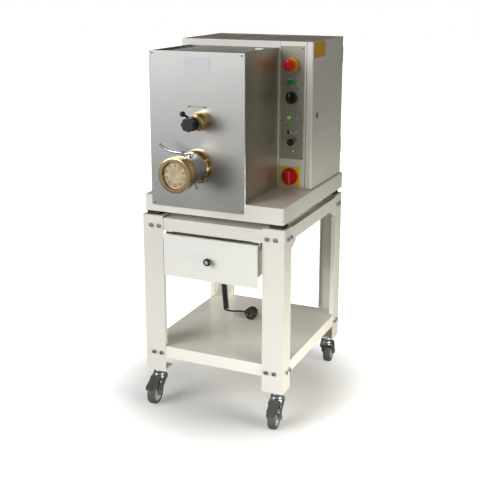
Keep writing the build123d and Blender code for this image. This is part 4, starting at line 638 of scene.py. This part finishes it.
def make_caster(name):
    """A caster's fork with its race, cheeks and axle, and its wheel, both from their rest place."""
    place = caster_place(name)
    fork = Piece(f"fork_{name}_dressed", f"fork_{name}", "zinc")
    race = [(95, 6.05), (97, 20), (97.5, 22.6), (100, 23.4), (103.5, 23.4), (106.5, 22.4),
            (108, 19.5), (108, 6.05)]
    fork.turned("zinc", place, race)
    crown = [(-23, -20), (-12, -24), (24, -24), (34, -21), (34, 21), (24, 24), (-12, 24), (-23, 20)]
    fork.prism("zinc", place @ Matrix.Translation((0, 0, 92.5)), crown, 5, bevel=1.6, softness=6)
    cheek = [(-20, 97), (30, 97), (42, 90), (57, 56), (56, 40), (47, 33), (36, 33.5), (28, 42),
             (22, 60), (-20, 84)]
    for start in (-CHEEK_GAP - CHEEK_THICK, CHEEK_GAP):
        side = place @ UPENDED @ Matrix.Translation((0, 0, -start - CHEEK_THICK))
        fork.prism("zinc", side, cheek, CHEEK_THICK, bevel=0.9, softness=7)
    for side in (-1, 1):
        outside = Matrix.Translation((TRAIL, side * (CHEEK_GAP + 2.2), AXLE_Z))
        hub = place @ outside @ facing((0, 0, 0), (0, side, 0))
        fork.turned("zinc", hub, [(0, 0), (0, 8.2), (1.2, 8.2), (1.2, 0)], segments=28)
        fork.prism("zinc", hub @ Matrix.Translation((0, 0, 1.1)), polygon(7, 6, 15), 3.4, bevel=0.7)
    axle = place @ Matrix.Translation((TRAIL, -CHEEK_GAP - 2, AXLE_Z)) @ ALONG_Y
    span = 2 * CHEEK_GAP + 4
    fork.turned("steel", axle, [(0, 0), (0, 4), (span, 4), (span, 0)], segments=20)
    if name[0] == "f":
        pin = place @ Matrix.Translation(PEDAL_PIN) @ ALONG_Y
        fork.turned("steel", pin, [(0, 0), (0, 2.5), (48, 2.5), (48, 0)], segments=14)
    fork.done(f"caster_fork_{name}")

    wheel = Piece(f"wheel_{name}_dressed", f"wheel_{name}", "caster_tyre")
    middle = place @ Matrix.Translation((TRAIL, 0, AXLE_Z)) @ ALONG_Y
    tread = [(-12.6, 32.8), (-14.2, 34.5), (-15, 38), (-14.2, 41.5), (-11.5, 44), (-6, 44.9), (0, 45),
             (6, 44.9), (11.5, 44), (14.2, 41.5), (15, 38), (14.2, 34.5), (12.6, 32.8)]
    wheel.turned("tyre", middle, tread, segments=56)
    half = [(21.1, 4.1), (21.1, 9.2), (19, 10), (10.5, 12.5), (7.5, 15), (6.4, 22), (8.5, 26.5),
            (11.6, 28.5), (12.4, 31.5), (12.4, 33)]
    wheel.turned("grey", middle, half + [(-h, r) for h, r in reversed(half)], segments=48)
    wheel.done(f"caster_wheel_{name}")


for caster in SWIVEL_REST:
    make_caster(caster)


PEDAL_START = (28.5, 0, 101.6)
PEDAL_SLOPE = math.atan2(-25, 67)
PEDAL_THICK = 2.6
EAR_THICK = 2.3


def make_pedal(name, side_name):
    """Brake pedal: a ribbed plate over the wheel with two ears on the fork's pin."""
    place = caster_place(name)
    pedal = Piece(f"pedal_{side_name}_dressed", f"pedal_{side_name}", "pedal")
    sheet = place @ Matrix.Translation(PEDAL_START) @ Matrix.Rotation(-PEDAL_SLOPE, 4, "Y")
    outline = [(0, -17), (12, -18.5), (60, -18.5), (70, -14), (74, -6), (74, 6), (70, 14), (60, 18.5),
               (12, 18.5), (0, 17)]
    under = sheet @ Matrix.Translation((0, 0, -PEDAL_THICK))
    pedal.prism("pedal", under, outline, PEDAL_THICK, bevel=1.0, softness=4)
    for number in range(6):
        x = 26 + 7 * number
        pedal.box("pedal", (x, -15, -0.2), (x + 2.6, 15, 1.3), bevel=0.6, place=sheet)
    pedal.box("pedal", (68, -15, -7.5), (71.5, 15, -1), bevel=1.2, place=sheet)
    ear = [(28.5, 100.4), (25, 96), (25, 90), (28, 87), (34, 87), (42, 90), (64, 86), (64, 88)]
    for start in (-18.5, 16.2):
        side = place @ UPENDED @ Matrix.Translation((0, 0, -start - EAR_THICK))
        pedal.prism("pedal", side, ear, EAR_THICK, bevel=0.6)
    pedal.done(f"brake_pedal_{side_name}")


make_pedal("fl", "left")
make_pedal("fr", "right")


# ---------------------------------------------------------------- front plate
ARROW_PLACE = (-50.5, PLATE_FACE_Y, 1121.5)
PLATE_LABEL_PLACE = (-50.0, PLATE_FACE_Y, 1257.0)
PLATE_SCREW_XS = (-221.0, 114.0)
PLATE_SCREW_ZS = (775.5, 1297.5)
PLATE_EDGE_XS = (-231.5, 124.5)
PLATE_BOTTOM_Z, PLATE_TOP_Z = 766, 1305.4
EDGE_RADIUS = 2.2


def flat_arc(radius, start, end, width):
    """An open arc band as an outline, between angles in degrees, with a width at each end."""
    outer, inner = [], []
    for step in range(15):
        share = step / 14
        angle = math.radians(start + (end - start) * share)
        half = (width[0] * (1 - share) + width[1] * share) / 2
        outer.append(((radius + half) * math.cos(angle), (radius + half) * math.sin(angle)))
        inner.append(((radius - half) * math.cos(angle), (radius - half) * math.sin(angle)))
    return outer + inner[::-1]


def screw(piece, finish, origin, normal, radius, height=1.2):
    """A small pan-head screw; a thin black cross on its head is painted shade for the cross slot."""
    place = facing(origin, normal)
    head = [(-0.4, 0), (-0.4, radius), (0.4 * height, radius), (height, 0.55 * radius), (height, 0)]
    piece.turned(finish, place, head, segments=20)
    half_long, half_wide = 0.55 * radius, 0.12 * radius
    low, high = (-half_long, -half_wide, height - 0.15), (half_long, half_wide, height + 0.04)
    # Painted shade: flush black bars stand for the slot's hollow.
    for turn in (45, 135):
        slot_shade_place = place @ Matrix.Rotation(math.radians(turn), 4, "Z")
        piece.box("rubber", low, high, place=slot_shade_place)


def make_plate_details():
    """On the front plate: a two-headed arrow, a plain label, screws and painted highlights on its
    edges.
    """
    marks = Piece("plate_marks", "frame", "black_plastic")
    on_plate = facing(ARROW_PLACE, FRONT) @ SUNK
    marks.prism("ink", on_plate, rectangle(60, 1.8), 0.25)
    for side in (-1, 1):
        tip = [(side * 37, 0), (side * 27, -4.6), (side * 29, 0), (side * 27, 4.6)]
        marks.prism("ink", on_plate, tip, 0.27)
    marks.done()

    label = Piece("plate_label", "frame", "panel")
    on_plate = facing(PLATE_LABEL_PLACE, FRONT) @ SUNK
    label.prism("label", on_plate, rectangle(98, 62), 0.4, softness=3)
    label.done()

    screws = Piece("plate_screws", "frame", "steel_plate")
    for x in PLATE_SCREW_XS:
        for z in PLATE_SCREW_ZS:
            screw(screws, "dark_steel", (x, PLATE_FACE_Y, z), FRONT, 3.6)
    screws.done()

    edge = Piece("plate_edges", "frame", "steel_plate")
    for x in PLATE_EDGE_XS:
        y = PLATE_FACE_Y + EDGE_RADIUS
        edge.tube("painted_highlight_steel", [(x, y, PLATE_BOTTOM_Z), (x, y, PLATE_TOP_Z)], EDGE_RADIUS)
    edge.done()


make_plate_details()


# ---------------------------------------------------------------- extruder and mixer fittings
DIE_FRONT_Y = -407.5
DIE_HOLES = 10
DIE_PITCH_RADIUS = 34.0
DIE_TURN = 18


def make_die_inserts():
    """The square core pin in each hole of the die, on its bridge."""
    inserts = Piece("die_inserts", "sleeve", "bronze")
    for number in range(DIE_HOLES):
        angle = 2 * math.pi * number / DIE_HOLES + math.radians(DIE_TURN)
        x = AUGER_X + DIE_PITCH_RADIUS * math.cos(angle)
        z = AUGER_Z + DIE_PITCH_RADIUS * math.sin(angle)
        place = facing((x, DIE_FRONT_Y, z), FRONT) @ Matrix.Rotation(angle, 4, "Z")
        inserts.box("bronze", (-4.4, -0.8, -8), (4.4, 0.8, -6), place=place)
        inserts.box("bronze_pin", (-2.7, -2.7, -7), (2.7, 2.7, 0.3), bevel=0.35, place=place)
    inserts.done()


make_die_inserts()


DRAWER_KNOB_Z = 590.0


def make_drawer_knob():
    """A round black knob with a grey centre on the drawer's front."""
    knob = Piece("drawer_knob_dressed", "drawer", "black_plastic")
    place = facing((0, PAN_FACE_Y, DRAWER_KNOB_Z), FRONT)
    side = [(0, 0), (0, 7), (2, 6.4), (8, 5.6), (11, 10.5), (13.5, 13.2), (16, 14), (20, 13.6),
            (23, 11.4), (24.4, 9), (24.2, 7.4), (23.4, 6.6)]
    knob.turned("black", place, side, segments=44)
    knob.turned("grey", place, [(23.2, 6.8), (23.9, 6.2), (24.4, 3), (24.4, 0)], segments=32)
    knob.done("drawer_knob")


make_drawer_knob()


# ---------------------------------------------------------------- control panel
SCREW_XS = (138.0, 217.0)
SCREW_ZS = (1304.5, 1178.0, 1045.0, 912.5)
LAMPS = (("upper", 1058.0, "green_lens"), ("lower", 1004.0, "red_lens"))
LAMP_X = 167.0
SELECTOR_Z = 1130.0
SELECTOR_KNOB_DEEP = 29.3
DIAL_Z = 970.0
SOCKET_Z = 934.0
INK_THICK = 0.22
PRINT_LINE_WIDE = 0.9
PRINT_BOXES = (((143, 1041), (211, 1080)), ((143, 922), (211, 1027)))
POSITION_MARKS_Z = 1158
POSITION_MARKS = ((156, 9), (177, 3.2), (198, 9))
SHORT_MARKS = ((163, 1084, 3), (190, 1074, 2), (160, 1032, 12), (190, 1021, 2))


def frame_lines(piece, finish, low, high, width):
    """Four thin printed lines round a box on the control plate, from (x, z) to (x, z)."""
    (x0, z0), (x1, z1) = low, high
    place = facing((0, CONTROL_FACE_Y, 0), FRONT)
    lines = (
        ((x0, z0), (x1, z0 + width)),
        ((x0, z1 - width), (x1, z1)),
        ((x0, z0 + width), (x0 + width, z1 - width)),
        ((x1 - width, z0 + width), (x1, z1 - width)),
    )
    for start, end in lines:
        piece.box(finish, (*start, -0.1), (*end, 0.12), place=place)


def make_panel_details():
    """On the control panel: screws, plain prints, socket, lamps and the selector's white line."""
    screws = Piece("panel_screws", "frame", "steel_plate")
    for x in SCREW_XS:
        for z in SCREW_ZS:
            screw(screws, "dark_steel", (x, CONTROL_FACE_Y, z), FRONT, 2.8)
    screws.done()

    prints = Piece("panel_prints", "frame", "red")
    for low, high in PRINT_BOXES:
        frame_lines(prints, "print_red", low, high, PRINT_LINE_WIDE)
    dial = facing((MIDDLE_X, CONTROL_FACE_Y, DIAL_Z), FRONT) @ SUNK
    prints.prism("ink", dial, flat_arc(18.5, 100, 10, (0.8, 4.2)), INK_THICK)
    for x, width in POSITION_MARKS:
        mark = facing((x, CONTROL_FACE_Y, POSITION_MARKS_Z), FRONT) @ SUNK
        prints.prism("ink", mark, rectangle(width, 1.4), INK_THICK)
        prints.prism("ink", mark @ Matrix.Translation((0, 4.5, 0)), polygon(1.5, 12), INK_THICK)
    for x, z, width in SHORT_MARKS:
        mark = facing((x, CONTROL_FACE_Y, z), FRONT) @ SUNK
        prints.prism("ink", mark, rectangle(width, 1.6), INK_THICK)
    prints.done()

    socket = Piece("signal_socket", "frame", "polished_steel")
    place = facing((MIDDLE_X, CONTROL_FACE_Y, SOCKET_Z), FRONT)
    rim = [(-1, 0), (-1, 7), (1.2, 7), (2.2, 6.2), (2.6, 4.4), (0.4, 4.0), (0.4, 0)]
    socket.turned("chrome", place, rim, segments=28)
    socket.turned("rubber", place, [(0.3, 0), (0.3, 3.9), (0.8, 3.9), (0.8, 0)], segments=20)
    socket.done()

    for row, z, lens in LAMPS:
        lamp = Piece(f"{row}_lamp", "frame", "lens")
        place = facing((LAMP_X, CONTROL_FACE_Y, z), FRONT)
        dome = [(3, 0), (3, 6.2), (5.5, 6.2), (8.2, 5.2), (10.2, 3.2), (11, 0)]
        lamp.turned(lens, place, dome, segments=28)
        lamp.done(*(("lamp_lenses",) if row == "upper" else ()))
        bezel = Piece(f"{row}_lamp_bezel", "frame", "polished_steel")
        collar = [(0, 9.6), (2.2, 9.4), (4.0, 8.4), (4.6, 7.2), (3.2, 6.3)]
        bezel.turned("chrome", place, collar, segments=32)
        bezel.done()

    index = Piece("selector_index", "selector", "black_plastic")
    place = facing((MIDDLE_X, CONTROL_FACE_Y - SELECTOR_KNOB_DEEP, SELECTOR_Z), FRONT)
    index.box("label", (-0.9, 6, -0.2), (0.9, 17.4, 0.25), place=place)
    index.done()


make_panel_details()


# ---------------------------------------------------------------- label, lid tab and lock
DOOR_LABEL_PLACE = (DOOR_FACE_X, 122.0, 1297.5)
LID_TAB = ((76, -46, 1300), (106, -30, 1306.5))
LOCK_PLACE = (DOOR_FACE_X + 2.4, 99.2, 1065.0)


def make_door_label():
    """A plain amber label on the service door."""
    label = Piece("door_label", "door", "amber")
    place = facing(DOOR_LABEL_PLACE, RIGHT) @ SUNK
    label.prism("amber_label", place, rectangle(119, 55), 0.4, softness=3)
    label.done()


def make_lid_tab():
    """The tab that the lid is lifted by, in a paler steel that paints a highlight on it."""
    tab = Piece("lid_tab", "lid", "steel_plate")
    tab.box("painted_highlight_steel", *LID_TAB, bevel=1.2)
    tab.done()


def make_lock_face():
    """A polished rim and a dark key slot on the door's lock, the slot a black bar of painted shade."""
    lock = Piece("lock_face", "lock", "polished_steel")
    place = facing(LOCK_PLACE, RIGHT)
    rim = [(-2.2, 11.4), (-0.8, 11.6), (0.6, 10.6), (0.9, 9.2), (0.2, 8.2), (-0.4, 8.0)]
    lock.turned("chrome", place, rim, segments=40)
    lock.turned("dark_steel", place, [(-0.2, 0), (-0.2, 8.2), (0.25, 7.6), (0.35, 0)], segments=32)
    # Painted shade: a black bar stands for the key slot's hollow.
    lock.box("rubber", (-0.7, -4.5, 0.2), (0.7, 4.5, 0.5), place=place)
    lock.done()


make_door_label()
make_lid_tab()
make_lock_face()


# ---------------------------------------------------------------- stage and light
WHITE = (1, 1, 1, 1)
FLOOR_COLOR = (0.74, 0.74, 0.75, 1)
FLOOR_MIRRORED = (0.10, 0.095, 0.085, 1)
ROOM_COLOR = (1.0, 0.96, 0.83, 1)
ROOM_DIFFUSE = 0.36
# Ramps: where each starts and ends, then its value at the start and at the end
FLOOR_GLOW_BY_DISTANCE = (0.24, 0.70, 0.06, 1.0)
FLOOR_DIMMED_BY_Y = (-6.0, -1.0, 0.0, 0.85)
ROOM_LIGHT_BY_Y = (0.35, -0.65, 0.14, 0.44)
ROOM_LIGHT_BY_Z = (0.25, 0.85, 1.0, 0.25)


def make_floor():
    """A wide pale floor that keeps the object's shadow and turns white away from it."""
    bm = bmesh.new()
    bmesh.ops.create_grid(bm, x_segments=2, y_segments=2, size=20)
    mesh = bpy.data.meshes.new("floor")
    bm.to_mesh(mesh)
    bm.free()
    floor = bpy.data.objects.new("floor", mesh)
    scene.collection.objects.link(floor)
    made, nodes = new_material("pale_floor")
    seen = nodes.add("ShaderNodeLightPath").outputs["Is Camera Ray"]
    place = nodes.add("ShaderNodeTexCoord").outputs["Object"]
    away = nodes.add("ShaderNodeVectorMath", {0: place}, operation="LENGTH").outputs["Value"]
    far = nodes.ramp(away, *FLOOR_GLOW_BY_DISTANCE, "SMOOTHSTEP")
    mirrored = nodes.add("ShaderNodeLightPath").outputs["Is Glossy Ray"]
    parts = nodes.add("ShaderNodeSeparateXYZ", {"Vector": place})
    dim = nodes.ramp(parts.outputs["Y"], *FLOOR_DIMMED_BY_Y, "SMOOTHSTEP")
    dimmed = nodes.math("MULTIPLY", mirrored, dim.outputs[0])
    tone = nodes.blend(dimmed, FLOOR_COLOR, FLOOR_MIRRORED)
    matte = nodes.add("ShaderNodeBsdfDiffuse", {"Color": tone})
    lit = nodes.math("MULTIPLY", seen, far)
    glow = nodes.add("ShaderNodeEmission", {"Color": WHITE, "Strength": lit})
    total = nodes.add("ShaderNodeAddShader", {0: matte, 1: glow})
    nodes.put(nodes.add("ShaderNodeOutputMaterial").inputs["Surface"], total)
    mesh.materials.append(made)


def make_world():
    """A room light ahead of the machine, dim above it and dark behind; white past the object."""
    world = bpy.data.worlds.new("studio")
    scene.world = world
    world.use_nodes = True
    world.node_tree.nodes.clear()
    nodes = Nodes(world.node_tree)
    path = nodes.add("ShaderNodeLightPath")
    seen = nodes.math("MAXIMUM", path.outputs["Is Camera Ray"], path.outputs["Is Transmission Ray"])
    direction = nodes.add("ShaderNodeTexCoord").outputs["Generated"]
    way = nodes.add("ShaderNodeSeparateXYZ", {"Vector": direction})
    ahead = nodes.ramp(way.outputs["Y"], *ROOM_LIGHT_BY_Y, "SMOOTHSTEP")
    above = nodes.ramp(way.outputs["Z"], *ROOM_LIGHT_BY_Z, "SMOOTHSTEP")
    levels = {"Factor": path.outputs["Is Diffuse Ray"], "A": ahead.outputs[0], "B": ROOM_DIFFUSE}
    around = nodes.add("ShaderNodeMix", levels)
    strength = nodes.math("MULTIPLY", around.outputs["Result"], above.outputs[0])
    room = nodes.add("ShaderNodeBackground", {"Color": ROOM_COLOR, "Strength": strength})
    white = nodes.add("ShaderNodeBackground", {"Color": WHITE, "Strength": 1.0})
    mixed = nodes.add("ShaderNodeMixShader", {0: seen, 1: room, 2: white})
    nodes.put(nodes.add("ShaderNodeOutputWorld").inputs["Surface"], mixed)


def soft_light(name, place, target, size, power, spread, color):
    """A rectangular soft box with a grid, at a place and aimed at a target, both in metres."""
    data = bpy.data.lights.new(name, "AREA")
    data.shape = "RECTANGLE"
    data.size, data.size_y = size
    data.energy = power
    data.spread = math.radians(spread)
    data.color = color
    light = bpy.data.objects.new(name, data)
    light.location = place
    light.rotation_euler = (Vector(target) - Vector(place)).to_track_quat("-Z", "Y").to_euler()
    scene.collection.objects.link(light)


def sun_light(name, azimuth, elevation, strength, angle, color):
    """A wide even light from an azimuth left of the front and an elevation, in degrees."""
    data = bpy.data.lights.new(name, "SUN")
    data.energy = strength
    data.angle = math.radians(angle)
    data.color = color
    light = bpy.data.objects.new(name, data)
    turn, rise = math.radians(azimuth), math.radians(elevation)
    level = math.cos(rise)
    source = Vector((-math.sin(turn) * level, -math.cos(turn) * level, math.sin(rise)))
    light.rotation_euler = source.to_track_quat("Z", "Y").to_euler()
    scene.collection.objects.link(light)


make_floor()
make_world()
sun_light("key", azimuth=34, elevation=22, strength=2.5, angle=44, color=(0.985, 0.99, 1.0))
soft_light("low_fill", place=(1.6, -0.4, 0.46), target=(0.25, 0, 0.10), size=(1.0, 0.4), power=4.8,
           spread=75, color=(1.0, 0.96, 0.84))
